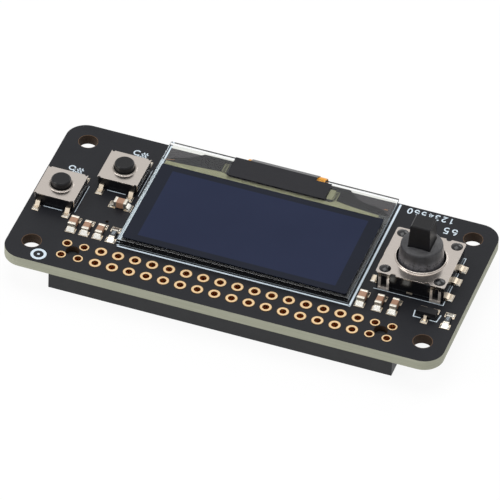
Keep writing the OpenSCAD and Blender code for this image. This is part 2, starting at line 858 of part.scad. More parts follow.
// Folded steel cover: a plate with relief cuts at its corners and a flange on each side
module key_cover() {
    color(steel)
        difference() {
            union() {
                translate([0, 0, key_body_h])
                    linear_extrude(key_sheet)
                        square([key_w, key_l], center = true);
                translate([0, 0, key_h - eps])
                    drawn_rim(key_hole_r, key_rim_w, key_rim + eps, 0.06);
                for (sx = [-1, 1])
                    translate([sx * (key_w - key_sheet) / 2 - key_sheet / 2, -key_l / 2 + 0.35,
                        key_body_h - key_flange])
                        cube([key_sheet, key_l - 0.7, key_flange + key_sheet / 2]);
            }
            translate([0, 0, key_body_h - 1])
                cylinder(r = key_hole_r, h = 2);
            for (sx = [-1, 1], sy = [-1, 1])
                translate([sx * (key_w / 2 - 0.28), sy * (key_l / 2 - 0.02), key_body_h - 1])
                    cylinder(r = relief_r, h = 2, $fn = 24);
            translate([0, 0, key_body_h - key_flange * 0.45])
                cube([key_w + 2, 1.3, 0.25], center = true);
        }
}

// Plunger: a waxed button with a flange that the cover holds in
module key_plunger() {
    r = plunger_d / 2;
    top = key_h + plunger_h;
    flange_top = key_body_h - 0.03;
    flange_bottom = plunger_foot_z + 0.12;
    color(black)
        rotate_extrude()
            polygon([[0, plunger_foot_z], [0.9, plunger_foot_z], [0.9, flange_bottom],
                [plunger_flange_r, flange_bottom], [plunger_flange_r, flange_top], [r, flange_top],
                [r, top - 1.2 * plunger_ease], [r - 0.2 * plunger_ease, top - 0.8 * plunger_ease],
                [r - 0.9 * plunger_ease, top - 0.08 * plunger_ease], [r - 1.2 * plunger_ease, top],
                [0, top]]);
}

module key_dome() {
    color("silver")
        translate([0, 0, key_floor])
            snap_dome(snap_d / 2, snap_h, snap_t);
}

// Four formed leads that stand on their lands
module key_leads() {
    color(tin)
        each_key_lead()
            gull_lead(key_lead_w, key_lead_t, key_lead_z, key_reach);
}

// Places its child at the root of each button lead
module each_key_lead() {
    for (sx = [-1, 1], turn = [0, 180])
        rotate(turn)
            translate([sx * key_lead_x, -key_base_l / 2, pad_t])
                children();
}

module at_button_5() {
    translate([button_5_x, button_5_y, board_t])
        children();
}

module at_button_6() {
    translate([button_6_x, button_6_y, board_t])
        children();
}

module button_5_base() at_button_5() key_base();
module button_5_cover() at_button_5() key_cover();
module button_5_plunger() at_button_5() key_plunger();
module button_5_dome() at_button_5() key_dome();
module button_5_leads() at_button_5() key_leads();
module button_6_base() at_button_6() key_base();
module button_6_cover() at_button_6() key_cover();
module button_6_plunger() at_button_6() key_plunger();
module button_6_dome() at_button_6() key_dome();
module button_6_leads() at_button_6() key_leads();

module at_joystick() {
    translate([joy_x, joy_y, board_t])
        children();
}

// Stud that holds the cover, with a head formed as a cap of a sphere
module stud() {
    r = stud_d / 2;
    h = stud_top - joy_base_h + 1;
    ball = (r * r + head_rise * head_rise) / (2 * head_rise);
    rotate_extrude() {
        square([r, h]);
        intersection() {
            translate([0, h + head_rise - ball])
                circle(ball, $fn = 72);
            translate([0, h - eps])
                square([r, head_rise + eps]);
        }
    }
}

// Slot with a round bottom that a pin drops into from above
module pin_slot(l, r) {
    rotate([0, 90, 0])
        cylinder(r = r, h = l, $fn = 24);
    translate([0, -r, 0])
        cube([l, 2 * r, joy_base_h]);
}

// Moulded base: a round well, slots for the ring's pins, and studs that hold the cover
module joystick_base() {
    color(black)
        at_joystick()
            difference() {
                union() {
                    translate([0, 0, eps])
                        eased_box(joy_base_w, joy_base_l, joy_base_h - eps, 0.15);
                    for (sx = [-1, 1], sy = [-1, 1])
                        translate([sx * stud_offset, sy * stud_offset, joy_base_h - 1])
                            stud();
                }
                translate([0, 0, joy_floor])
                    cylinder(r = well_r, h = joy_base_h, $fn = 72);
                for (turn = [0, 180])
                    rotate(turn)
                        translate([ring_outer_r, 0, pivot_h])
                            pin_slot(pin_reach - ring_outer_r + pivot_gap, pivot_r + pivot_gap);
            }
}

// One folded strap: two legs round a window, closed by a lip at the board
module strap() {
    foot = 0.05;
    lip = 0.35;
    translate([0, -strap_y, 0])
        difference() {
            union() {
                translate([-strap_w / 2, -joy_sheet, foot])
                    cube([strap_w, joy_sheet, joy_cover_top - foot - joy_sheet / 2]);
                translate([-strap_w / 2, -joy_sheet - 0.12, foot])
                    cube([strap_w, joy_sheet, lip]);
            }
            translate([-strap_window / 2, -1, foot + lip])
                cube([strap_window, 2, joy_base_h - 0.35 - lip]);
        }
}

// Folded steel cover: a collared opening, four stud holes, edge notches and four straps
module joystick_cover() {
    through = joy_sheet + collar_h + 2;
    color(steel)
        at_joystick() {
            difference() {
                union() {
                    translate([0, 0, joy_base_h])
                        linear_extrude(joy_sheet)
                            round_rect(joy_cover_w, joy_cover_l, 0.4);
                    translate([0, 0, joy_cover_top - eps])
                        drawn_rim(joy_hole_r, collar_wall, collar_h + eps, 0.14);
                }
                translate([0, 0, joy_base_h - 1])
                    cylinder(r = joy_hole_r, h = through, $fn = 72);
                for (sx = [-1, 1], sy = [-1, 1]) {
                    translate([sx * stud_offset, sy * stud_offset, joy_base_h - 1])
                        cylinder(d = stud_d + 2 * stud_gap, h = through);
                    translate([sx * notch_x, sy * joy_cover_l / 2, joy_base_h - 1])
                        cylinder(r = notch_r, h = through);
                }
            }
            for (turn = [0, 180], sx = [-1, 1])
                rotate(turn)
                    translate([sx * strap_x, 0, 0])
                        strap();
        }
}

// Pivot ring: pins along X in the base, bores along Y for the dome's pins
module joystick_ring() {
    color("gainsboro")
        at_joystick()
            translate([0, 0, pivot_h])
                difference() {
                    union() {
                        translate([0, 0, -ring_h / 2])
                            cylinder(r = ring_outer_r, h = ring_h, $fn = 72);
                        rotate([0, 90, 0])
                            translate([0, 0, -pin_reach])
                                cylinder(r = pivot_r, h = 2 * pin_reach, $fn = 24);
                    }
                    translate([0, 0, -1])
                        cylinder(r = ring_r, h = 2, $fn = 72);
                    rotate([90, 0, 0])
                        translate([0, 0, -5])
                            cylinder(r = pivot_r + pivot_gap, h = 10, $fn = 24);
                }
}

// Hollow dome: a turned shell with a square mouth for the stick and two pins along Y
module joystick_dome() {
    crown = crest_h + crown_rise;
    shoulder = [for (turn = [80:-20:0])
        [crest_r - crest_ease * (1 - cos(turn)), crest_h - crest_ease * (0.6 - sin(turn))]];
    mouth = stick_w + 2 * stick_gap;
    color([0.25, 0.25, 0.28])
        at_joystick()
            difference() {
                union() {
                    rotate_extrude($fn = 72)
                        polygon(concat([[0, crown], [crest_r * 0.6, crown - 0.06]], shoulder,
                            [[dome_r, joy_cover_top], [dome_r, skirt_z],
                            [dome_r - dome_wall, skirt_z], [dome_r - dome_wall, joy_cover_top],
                            [crest_r - dome_wall, inner_top], [0, inner_top]]));
                    for (turn = [0, 180])
                        rotate(turn)
                            translate([0, dome_r - 0.3, pivot_h])
                                rotate([-90, 0, 0])
                                    cylinder(r = pivot_r, h = ring_outer_r - dome_r + 0.25, $fn = 24);
                }
                translate([-mouth / 2, -mouth / 2, inner_top - 1])
                    cube([mouth, mouth, crown]);
            }
}

// Side view of the stick above the dome, carried through its whole width
module stick_side() {
    guide_top = crest_h + crown_rise;
    ease = 0.15;
    w = stick_w / 2;
    top = stick_top_w / 2;
    along_x(stick_w)
        polygon([[-w, guide_top - eps], [w, guide_top - eps], [w, guide_top], [top, stick_h - ease],
            [top - ease, stick_h], [ease - top, stick_h], [-top, stick_h - ease], [-w, guide_top]]);
}

// Square stick: a tapered grip, a flange inside the dome and a push stem
module joystick_stick() {
    guide_top = crest_h + crown_rise;
    flange_h = 0.6;
    stem_l = stick_flange_top - flange_h / 2 - stem_bottom;
    color(black)
        at_joystick() {
            translate([-stick_w / 2, -stick_w / 2, stick_flange_top - flange_h])
                cube([stick_w, stick_w, guide_top - stick_flange_top + flange_h]);
            intersection() {
                stick_side();
                rotate(90)
                    stick_side();
            }
            translate([0, 0, stick_flange_top - flange_h])
                linear_extrude(flange_h)
                    cut_rect(stick_flange_w, stick_flange_w, 0.5);
            translate([0, 0, stem_bottom])
                rotate_extrude()
                    polygon([[0, 0], [stem_r - 0.25, 0], [stem_r, 0.25], [stem_r, stem_l], [0, stem_l]]);
        }
}

// Contact sheet on the floor of the well: one snap dome in the middle and four round it
module joystick_contacts() {
    places = [[0, 0], [contact_ring_r, 0], [-contact_ring_r, 0], [0, contact_ring_r], [0, -contact_ring_r]];
    color("silver")
        at_joystick()
            translate([0, 0, joy_floor]) {
                difference() {
                    cylinder(r = well_r - 0.1, h = snap_t, $fn = 72);
                    for (place = places)
                        translate([place[0], place[1], -1])
                            cylinder(r = joy_snap_r - 0.02, h = 2);
                }
                for (place = places)
                    translate([place[0], place[1], 0])
                        snap_dome(joy_snap_r, joy_snap_h, snap_t);
            }
}

// Places its child at the root of each side terminal
module each_joy_lead() {
    for (sx = [-1, 1], y = joy_lead_y)
        translate([sx * joy_base_w / 2, y, pad_t])
            rotate(sx * 90)
                children();
}

// Three formed terminals on each side, and the cut end of the lead frame at the front
module joystick_terminals() {
    at_joystick() {
        color(tin)
            each_joy_lead()
                gull_lead(joy_lead_w, joy_lead_t, joy_lead_rise, joy_lead_reach);
        color("peru")
            translate([-tab_w / 2, -joy_base_l / 2 - 0.1, 0.2])
                cube([tab_w, 0.1, 0.25]);
    }
}

// Two-ended chip: a fired body, sunk by a skin below the faces of its two plated ends
module chip(l, w, h, skin, ease) {
    translate([0, 0, skin])
        eased_box(w - 2 * skin, l - chip_end, h - 2 * skin, ease);
    for (side = [-1, 1])
        translate([0, side * (l - chip_end) / 2, 0])
            eased_box(w, chip_end, h, ease);
}

// One of the chip capacitors, by its place in the lists of sizes
module capacitor(i) {
    color([0.65, 0.5, 0.4])
        translate([capacitor_x[i], i == 3 ? side_chip_y : chip_y, board_t + pad_t])
            rotate(i == 3 ? 90 : 0)
                chip(chip_l, capacitor_w[i], capacitor_h[i], 0.03, 0.08);
}

module capacitor_1() capacitor(0);
module capacitor_2() capacitor(1);
module capacitor_3() capacitor(2);
module capacitor_4() capacitor(3);
module capacitor_5() capacitor(4);
module capacitor_6() capacitor(5);
module capacitor_7() capacitor(6);

// Chip resistor: a flat ceramic tile with wrapped ends
module resistor(i) {
    color([0.14, 0.14, 0.15])
        translate([resistor_x[i], chip_y, board_t + pad_t])
            chip(resistor_l, resistor_w, resistor_h, 0.02, 0.05);
}

module resistor_1() resistor(0);
module resistor_2() resistor(1);

// Side of a moulded body that is widest at its parting line
module parting_profile(half, h, slope) {
    polygon([[slope - half, 0], [half - slope, 0], [half, h / 2],
        [half - slope, h], [slope - half, h], [-half, h / 2]]);
}

// Moulded transistor body with sloping ends
module transistor_body() {
    slope = 0.1;
    color(black)
        translate([sot_x, sot_y, board_t + pad_t + 0.05])
            intersection() {
                rotate(90)
                    along_x(sot_w)
                        parting_profile(sot_l / 2, sot_h, slope);
                along_x(sot_l)
                    parting_profile(sot_w / 2, sot_h, slope);
            }
}

// Places its child at the root of each transistor lead
module each_sot_lead() {
    translate([0, -sot_w / 2, pad_t])
        children();
    for (sx = [-1, 1])
        translate([sx * sot_pitch / 2, sot_w / 2, pad_t])
            rotate(180)
                children();
}

module transistor_leads() {
    color(tin)
        translate([sot_x, sot_y, board_t])
            each_sot_lead()
                gull_lead(sot_lead_w, sot_lead_t, sot_rise, sot_reach);
}

circuit_board();
plated_holes();
surface_lands();
solder_joints();
header_housing();
header_contacts();
display_adhesive();
display_cap_glass();
display_pixels();
display_front_glass();
display_polarizer();
display_driver();
display_flex();
display_light_shield();
button_5_base();
button_5_cover();
button_5_plunger();
button_5_dome();
button_5_leads();
button_6_base();
button_6_cover();
button_6_plunger();
button_6_dome();
button_6_leads();
joystick_base();
joystick_cover();
joystick_ring();
joystick_dome();
joystick_stick();
joystick_contacts();
joystick_terminals();
capacitor_1();
capacitor_2();
capacitor_3();
capacitor_4();
capacitor_5();
capacitor_6();
capacitor_7();
resistor_1();
resistor_2();
transistor_body();
transistor_leads();
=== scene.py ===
# %% [markdown]
# # An add-on board with a display, two buttons and a joystick
#
# The solids of this board come ready from the CAD step: laminate, socket, glass, switches and chips, each
# in its true place. This lesson gives them their looks. It sets up a pale studio, builds a small kit for
# writing finishes as plain arithmetic, mixes one finish per real material, and then adds what is too fine
# for CAD: printed lines and numbers, wiring on the glass, the sealant under it with a grey sheet that is a
# painted reflection and a white strip, and wet solder.
# Last come the button plungers, slimmer than the plain CAD pins.

import math

import bmesh
import bpy
from mathutils import Matrix, Vector


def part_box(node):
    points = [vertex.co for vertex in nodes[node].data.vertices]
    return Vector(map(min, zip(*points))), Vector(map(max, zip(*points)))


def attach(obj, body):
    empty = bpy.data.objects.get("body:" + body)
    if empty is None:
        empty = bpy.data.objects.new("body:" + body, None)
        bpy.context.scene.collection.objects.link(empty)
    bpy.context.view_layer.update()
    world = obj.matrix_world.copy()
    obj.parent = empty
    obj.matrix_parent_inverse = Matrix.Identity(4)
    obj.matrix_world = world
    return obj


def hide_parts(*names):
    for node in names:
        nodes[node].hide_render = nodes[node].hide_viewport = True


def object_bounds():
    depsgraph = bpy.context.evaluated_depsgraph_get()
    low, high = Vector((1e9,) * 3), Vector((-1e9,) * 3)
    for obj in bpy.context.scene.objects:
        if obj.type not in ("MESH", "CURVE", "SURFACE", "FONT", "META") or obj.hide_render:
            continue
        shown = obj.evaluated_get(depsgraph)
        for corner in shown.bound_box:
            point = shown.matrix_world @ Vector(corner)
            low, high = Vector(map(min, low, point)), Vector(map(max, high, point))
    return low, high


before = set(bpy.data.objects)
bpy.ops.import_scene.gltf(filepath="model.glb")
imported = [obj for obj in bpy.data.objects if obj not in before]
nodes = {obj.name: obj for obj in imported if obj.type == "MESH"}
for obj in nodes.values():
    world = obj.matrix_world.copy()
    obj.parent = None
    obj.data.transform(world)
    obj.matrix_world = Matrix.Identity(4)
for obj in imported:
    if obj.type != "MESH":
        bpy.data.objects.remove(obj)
bounds_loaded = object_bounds()
MM = 0.001
BOARD_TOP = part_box("circuit_board")[1].z / MM
print("board top at", round(BOARD_TOP, 3), "mm")

# %% [markdown]
# ## The studio
#
# The backdrop is plain white where the camera looks at it, and a little dimmer as a light, so that the
# black board doesn't wash out. The floor lies under the socket, the lowest piece, and keeps a faint shadow.


# %% Backdrop and floor
def plain_view(tree):
    """1 for rays from the camera, off a mirror or through glass, and 0 for all others."""
    path = tree.nodes.new("ShaderNodeLightPath")
    seen = path.outputs["Is Camera Ray"]
    for ray in ("Is Glossy Ray", "Is Transmission Ray"):
        larger = tree.nodes.new("ShaderNodeMath")
        larger.operation = "MAXIMUM"
        tree.links.new(seen, larger.inputs[0])
        tree.links.new(path.outputs[ray], larger.inputs[1])
        seen = larger.outputs[0]
    return seen


def world_light(glow):
    """A white backdrop for the camera, and a dimmer one for everything that it lights."""
    world = bpy.data.worlds.new("backdrop")
    bpy.context.scene.world = world
    world.use_nodes = True
    tree = world.node_tree
    back = tree.nodes["Background"]
    back.inputs["Color"].default_value = (1, 1, 1, 1)
    level = tree.nodes.new("ShaderNodeMapRange")
    level.inputs["To Min"].default_value = glow
    level.inputs["To Max"].default_value = 1.0
    tree.links.new(plain_view(tree), level.inputs["Value"])
    tree.links.new(level.outputs[0], back.inputs["Strength"])


def floor_paint(white_share):
    """Pale paint. white_share is how much of it is plain white where the camera looks at it."""
    paint = bpy.data.materials.new("floor_paint")
    paint.use_nodes = True
    tree = paint.node_tree
    surface = tree.nodes["Principled BSDF"]
    surface.inputs["Base Color"].default_value = (FLOOR_GREY, FLOOR_GREY, FLOOR_GREY, 1)
    surface.inputs["Roughness"].default_value = 0.9
    surface.inputs["Specular IOR Level"].default_value = 0.0
    white = tree.nodes.new("ShaderNodeEmission")
    white.inputs["Color"].default_value = (1, 1, 1, 1)
    white.inputs["Strength"].default_value = 1.0
    share = tree.nodes.new("ShaderNodeMath")
    share.operation = "MULTIPLY"
    share.inputs[1].default_value = white_share
    blend = tree.nodes.new("ShaderNodeMixShader")
    tree.links.new(plain_view(tree), share.inputs[0])
    tree.links.new(share.outputs[0], blend.inputs[0])
    tree.links.new(surface.outputs[0], blend.inputs[1])
    tree.links.new(white.outputs[0], blend.inputs[2])
    tree.links.new(blend.outputs[0], tree.nodes["Material Output"].inputs["Surface"])
    return paint


def add_floor(height, size=1.2):
    """A pale floor at a height in millimetres. size is in metres."""
    half = size / 2
    mesh = bpy.data.meshes.new("floor")
    corners = [(-half, -half), (half, -half), (half, half), (-half, half)]
    mesh.from_pydata([(x, y, height * MM) for x, y in corners], [], [(0, 1, 2, 3)])
    floor = bpy.data.objects.new("floor", mesh)
    bpy.context.collection.objects.link(floor)
    mesh.materials.append(floor_paint(WHITE_SHARE))
    return floor


BACKDROP_GLOW, FLOOR_GREY, WHITE_SHARE, FLOOR_GAP = 0.64, 0.93, 0.92, 0.01
world_light(BACKDROP_GLOW)
floor = add_floor(min(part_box("header_housing")[0].z, bounds_loaded[0][2]) / MM - FLOOR_GAP)
print("floor at", round(floor.data.vertices[0].co.z / MM, 3), "mm")

# %% [markdown]
# ## Lamps
#
# A large soft lamp above gives an even light. A second one, low at the front left, draws the bright edges
# of the steel covers, and a third behind lets the glass and the tape show a gloss.


# %% Lamps
def add_lamp(name, place, aim, size, power):
    """A square soft lamp at a place, turned towards a point, both in millimetres."""
    light = bpy.data.lights.new(name, "AREA")
    light.shape, light.size, light.energy = "SQUARE", size * MM, power
    lamp = bpy.data.objects.new(name, light)
    bpy.context.collection.objects.link(lamp)
    place, aim = Vector(place) * MM, Vector(aim) * MM
    turn = (place - aim).to_track_quat("Z", "Y").to_matrix().to_4x4()
    lamp.matrix_world = Matrix.Translation(place) @ turn


add_lamp("lamp_above", (-60, 60, 520), (0, 0, 0), 360, 1.3)
add_lamp("lamp_left", (-420, -260, 260), (0, 0, 0), 260, 0.8)
add_lamp("lamp_back", (160, 480, 300), (0, 0, 0), 240, 0.5)

# %% [markdown]
# ## Camera
#
# The camera looks down on the board from the front, a little from the right, through a long lens, so that
# parallel edges stay nearly parallel. Its direction is written as two angles and a slight roll.


# %% Camera
def add_camera(azimuth, elevation, roll, distance, lens, slide):
    """A camera on the given angles in degrees. distance and the sideways slide are in millimetres."""
    a, e, r = (math.radians(angle) for angle in (azimuth, elevation, roll))
    back = Vector((math.sin(a) * math.cos(e), -math.cos(a) * math.cos(e), math.sin(e)))
    level = Vector((math.cos(a), math.sin(a), 0))
    upright = back.cross(level)
    right = level * math.cos(r) + upright * math.sin(r)
    up = upright * math.cos(r) - level * math.sin(r)
    eye = right * slide[0] + up * slide[1] + back * distance + Vector((0, 0, BOARD_TOP))
    data = bpy.data.cameras.new("camera")
    data.sensor_width, data.lens = 36, lens
    data.clip_start, data.clip_end = 0.05, 10
    camera = bpy.data.objects.new("camera", data)
    bpy.context.collection.objects.link(camera)
    turn = Matrix((right, up, back)).transposed().to_4x4()
    camera.matrix_world = Matrix.Translation(eye * MM) @ turn
    bpy.context.scene.camera = camera
    return camera


camera = add_camera(azimuth=17.5, elevation=41.48, roll=2.575, distance=942.8, lens=481.0,
                    slide=(-0.4006, -1.434))
bpy.context.scene.view_settings.view_transform = "Standard"
print("camera at", [round(c / MM, 1) for c in camera.location])

# %% [markdown]
# ## A kit for finishes
#
# Shader nodes are easier to read as arithmetic. A `Value` is one number that the shader works out at every
# point of a surface, and `+`, `-`, `*` and `/` on it add the Math nodes.


# %% Values
class Value:
    """One number, colour or vector that a shader works out at every point."""

    def __init__(self, finish, socket):
        self.finish, self.socket = finish, socket

    def math(self, operation, *others):
        return self.finish.node("Math", {"operation": operation}, dict(enumerate((self, *others))))

    def __add__(self, other):
        return self.math("ADD", other)

    def __mul__(self, other):
        return self.math("MULTIPLY", other)

    def __sub__(self, other):
        return self.math("SUBTRACT", other)

    def __truediv__(self, other):
        return self.math("DIVIDE", other)

    def __rsub__(self, other):
        return self * -1.0 + other

    __radd__, __rmul__ = __add__, __mul__

    def __abs__(self):
        return self.math("ABSOLUTE")

    def above(self, edge, soft=0.02):
        """1 where this is over the edge, 0 where it is under, and a short ramp between."""
        ends = {"Value": self, "From Min": edge - soft, "From Max": edge + soft}
        return self.finish.node("MapRange", {"clamp": True}, ends)

    def below(self, edge, soft=0.02):
        return 1 - self.above(edge, soft)

    def between(self, low, high, soft=0.02):
        return self.above(low, soft) * self.below(high, soft)


# %% [markdown]
# ## One material
#
# A `Finish` is one material. Its `node` method makes a shader node of any kind: the type, then its
# settings, then what goes into it. The methods after it name the few that this board needs.


# %% Finishes
class Finish:
    """One material, written as a few lines of arithmetic."""

    made = {}

    def __init__(self, name, sockets):
        self.material = bpy.data.materials.new(name)
        self.material.use_nodes = True
        self.tree = self.material.node_tree
        self.surface = self.tree.nodes["Principled BSDF"]
        self.set(sockets)
        Finish.made[name] = self

    def set(self, sockets):
        """Gives the surface constants, or links the values that vary over it."""
        self.fill(self.surface, sockets)

    def fill(self, node, inputs):
        for key, given in inputs.items():
            socket = node.inputs[key]
            if isinstance(given, Value):
                self.tree.links.new(given.socket, socket)
            elif isinstance(given, (tuple, list, Vector)):
                whole = tuple(given) + (1.0,) * (len(socket.default_value) - len(given))
                socket.default_value = whole
            else:
                socket.default_value = given

    def node(self, kind, settings=None, inputs=None, output=0):
        """Any shader node: its type, its settings, what goes into it, and which output is wanted."""
        node = self.tree.nodes.new("ShaderNode" + kind)
        for key, given in (settings or {}).items():
            setattr(node, key, given)
        self.fill(node, inputs or {})
        return Value(self, node.outputs[output])

    def place(self):
        """The point on the piece, as a vector in millimetres."""
        where = self.node("TexCoord", output="Object")
        return self.node("VectorMath", {"operation": "SCALE"}, {0: where, "Scale": 1 / MM})

    def split(self, vector):
        """The three numbers of a vector."""
        parts = self.node("SeparateXYZ", inputs={0: vector})
        return [Value(self, socket) for socket in parts.socket.node.outputs]

    def stretch(self, vector, x, y, z):
        """The vector with each axis scaled by its own factor."""
        return self.node("VectorMath", {"operation": "MULTIPLY"}, {0: vector, 1: (x, y, z)})

    def noise(self, vector, per_mm, detail=3.0, rough=0.5):
        """Soft random blotches from 0 to 1, so many to a millimetre."""
        inputs = {"Vector": vector, "Scale": per_mm, "Detail": detail, "Roughness": rough}
        return self.node("TexNoise", None, inputs)

    def mix(self, amount, first, second):
        """One colour blended into another."""
        return self.node("Mix", {"data_type": "RGBA"}, {0: amount, 6: first, 7: second}, output=2)

    def bump(self, height, depth, under=None):
        """A normal that is tilted by a height, whose full range is so many millimetres deep."""
        inputs = {"Height": height, "Strength": 1.0, "Distance": depth * MM}
        if under is not None:
            inputs["Normal"] = under
        return self.node("Bump", None, inputs)

    def rounded(self, radius):
        """A normal that softens sharp edges, as moulding, stamping and plating do."""
        return self.node("Bevel", {"samples": 4}, {"Radius": radius * MM})


def tone(red, green, blue):
    """A colour as a screen shows it, 0 to 255, turned into the renderer's linear light."""
    def linear(level):
        level /= 255
        return level / 12.92 if level <= 0.04045 else ((level + 0.055) / 1.055) ** 2.4

    return tuple(linear(level) for level in (red, green, blue))


# %% [markdown]
# ## The laminate and its lacquer
#
# The board is a glass-cloth laminate under a black lacquer. The lacquer lies on the two faces only: the
# milled rim shows the bare laminate, greenish beige with thin layers, and so do the walls of the drilled
# holes, which are painted dark brown, a painted shade in the holes. The lacquer stops just short of each
# mounting hole. A rounded rectangle just inside the board's outline tells the rim from the holes, all in
# millimetres from the board's origin.


# %% Solder mask
HOLE_X, HOLE_Y, BARE_R = 29.0, 11.5, 1.42
CORNER_X, CORNER_Y, MIDDLE_Y, INSIDE_R = 29.5, 12.275, -0.275, 2.8


def board_finish():
    """Lacquer on the faces, bare laminate on the rim, and the laminate painted darker in the holes, a painted
    shade.
    """
    finish = Finish("solder_mask", {"Specular IOR Level": 0.14, "IOR": 1.5})
    where = finish.place()
    x, y = finish.split(where)[:2]
    normal = finish.node("TexCoord", output="Normal")
    facing = abs(finish.split(normal)[2]).above(0.5, 0.05)

    across, along = abs(x) - HOLE_X, abs(y) - HOLE_Y
    reach = (across * across + along * along).math("SQRT")
    lacquer = facing * reach.above(BARE_R, 0.01)
    over_x = (abs(x) - CORNER_X).math("MAXIMUM", 0.0)
    over_y = (abs(y - MIDDLE_Y) - CORNER_Y).math("MAXIMUM", 0.0)
    inside = (over_x * over_x + over_y * over_y).math("SQRT").below(INSIDE_R, 0.05)

    layers = finish.noise(finish.stretch(where, 0.15, 0.15, 9.0), 1.0, 4.0)
    rim = finish.mix(layers, tone(140, 141, 124), tone(170, 171, 154))
    # painted shade: the walls inside the holes get these darker tones
    bore = finish.mix(layers, tone(44, 34, 27), tone(72, 56, 43))
    bare = finish.mix(inside, rim, bore)
    bare = finish.mix(facing, bare, tone(110, 84, 62))
    blotch = finish.noise(where, 0.25, 4.0)
    black = finish.mix(blotch, tone(25, 26, 30), tone(31, 32, 36))
    peel = finish.noise(where, 6.0, 2.0)
    finish.set({
        "Base Color": finish.mix(lacquer, bare, black),
        "Roughness": 0.62 - lacquer * (0.3 - 0.1 * blotch),
        "Normal": finish.bump(peel * lacquer + layers * (1 - lacquer), 0.012),
    })


board_finish()

# %% [markdown]
# ## Metals
#
# Gold plate on the pin holes, tin on the other lands and terminals, solder that froze in small smooth
# pools, and the stainless sheet of the switches, with a duller steel for the lips round the buttons that is
# painted darker, a painted shade. They differ in tone, in how sharply they mirror, and in their surface:
# rolled sheet has a grain along one axis, and tin is finely mottled. All are full metals but the joystick's
# straps, which are made half metal because bent steel is duller than the flat top.


# %% Metal finishes
def metal(name, dark, pale, roughness, grain=(1, 1, 1), per_mm=3.0, depth=0.002, edge=0.0, spread=0.1):
    """A metal between two tones. grain stretches its marks, and edge rounds its corners to a radius."""
    finish = Finish(name, {"Metallic": 1.0})
    where = finish.place()
    marks = finish.noise(finish.stretch(where, *grain), per_mm, 4.0, 0.6)
    soft = finish.rounded(edge) if edge else None
    finish.set({
        "Base Color": finish.mix(marks, dark, pale),
        "Roughness": roughness - spread / 2 + marks * spread,
        "Normal": finish.bump(marks, depth, soft),
    })
    return finish


metal("tin_plate", tone(198, 184, 164), tone(226, 213, 194), 0.4, per_mm=9.0, depth=0.003, edge=0.03)
metal("solder", tone(176, 174, 168), tone(240, 238, 231), 0.26, per_mm=4.0, depth=0.007, edge=0.08)
rolled = (tone(182, 174, 167), tone(200, 192, 185), 0.2, (0.25, 9, 9), 2.0, 0.0006, 0.05, 0.08)
metal("stainless_sheet", *rolled)
# painted shade: the lips are the cover's steel, given darker tones
metal("lip_steel_painted_shade", tone(118, 112, 106), tone(136, 130, 124), 0.44, per_mm=3.0, depth=0.0003)
joystick_sheet = metal("joystick_sheet", *rolled)
STRAP_DROP, STRAP_METAL = 1.1, 0.5
strap_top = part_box("joystick_cover")[1].z / MM - STRAP_DROP
strap = joystick_sheet.split(joystick_sheet.place())[2].below(strap_top, 0.1)
joystick_sheet.set({"Metallic": 1.0 - STRAP_METAL * strap})
metal("spring_steel", tone(190, 186, 178), tone(214, 210, 202), 0.22, (1, 4, 4), 3.0, 0.001, 0.02)

# %% [markdown]
# ## Gold with deep bores
#
# Seen from above, a plated bore looks red-brown: light bounces between its gold walls and loses blue each
# time. Only the flat rings face up, so the part of the normal that points up or down tells the two apart.
# The lacquer laps over the rim of each ring pad, so the outermost ring is dark.

# %% Gold plate
gold = Finish("gold_plate", {"Metallic": 1.0})
where = gold.place()
flat = abs(gold.split(gold.node("TexCoord", output="Normal"))[2]).above(0.6, 0.1)
marks = gold.noise(where, 3.0, 4.0, 0.6)
PIN_PITCH, RIM_FROM = 2.54, 0.83
x, y = gold.split(where)[:2]
middle = (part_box("plated_holes")[0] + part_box("plated_holes")[1]) / 2 / MM
across = ((x - middle.x) / PIN_PITCH).math("FRACT") * PIN_PITCH - PIN_PITCH / 2
along = ((y - middle.y) / PIN_PITCH).math("FRACT") * PIN_PITCH - PIN_PITCH / 2
rim = (across * across + along * along).math("SQRT").above(RIM_FROM, 0.04)
ring = gold.mix(marks, tone(208, 176, 132), tone(228, 200, 158))
gold.set({
    "Base Color": gold.mix(flat, tone(222, 166, 112), gold.mix(rim, ring, tone(74, 52, 34))),
    "Roughness": 0.3 + 0.1 * marks,
    "Normal": gold.bump(marks, 0.004),
})

# %% [markdown]
# ## Moulded plastics
#
# The socket and the switch bodies are black plastics filled with glass fibre, which gives a fine grain and
# a slight sheen. The joystick's dome is a mottled grey nylon, rougher on its crown than on its sides. Its
# sides are painted lighter than its crown, a painted highlight, with faint streaks that run down them.


# %% Plastic finishes
def plastic(name, dark, pale, roughness, per_mm=12.0, depth=0.006, edge=0.06, gloss=0.35):
    """A moulded plastic between two tones, with a fine grain and slow flow marks."""
    finish = Finish(name, {"Specular IOR Level": gloss})
    where = finish.place()
    grain = finish.noise(where, per_mm, 3.0, 0.6)
    flow = finish.noise(where, 0.6, 3.0)
    finish.set({
        "Base Color": finish.mix(flow, dark, pale),
        "Roughness": roughness - 0.06 + grain * 0.12,
        "Normal": finish.bump(grain, depth, finish.rounded(edge)),
    })


plastic("socket_plastic", tone(30, 31, 33), tone(40, 41, 43), 0.5)
plastic("switch_plastic", tone(13, 13, 15), tone(20, 20, 23), 0.32, depth=0.003, edge=0.1, gloss=0.24)
plastic("joystick_plastic", tone(11, 11, 13), tone(17, 17, 20), 0.16, depth=0.001, edge=0.1, gloss=0.4)
plastic("ring_plastic", tone(30, 30, 33), tone(38, 38, 42), 0.4)

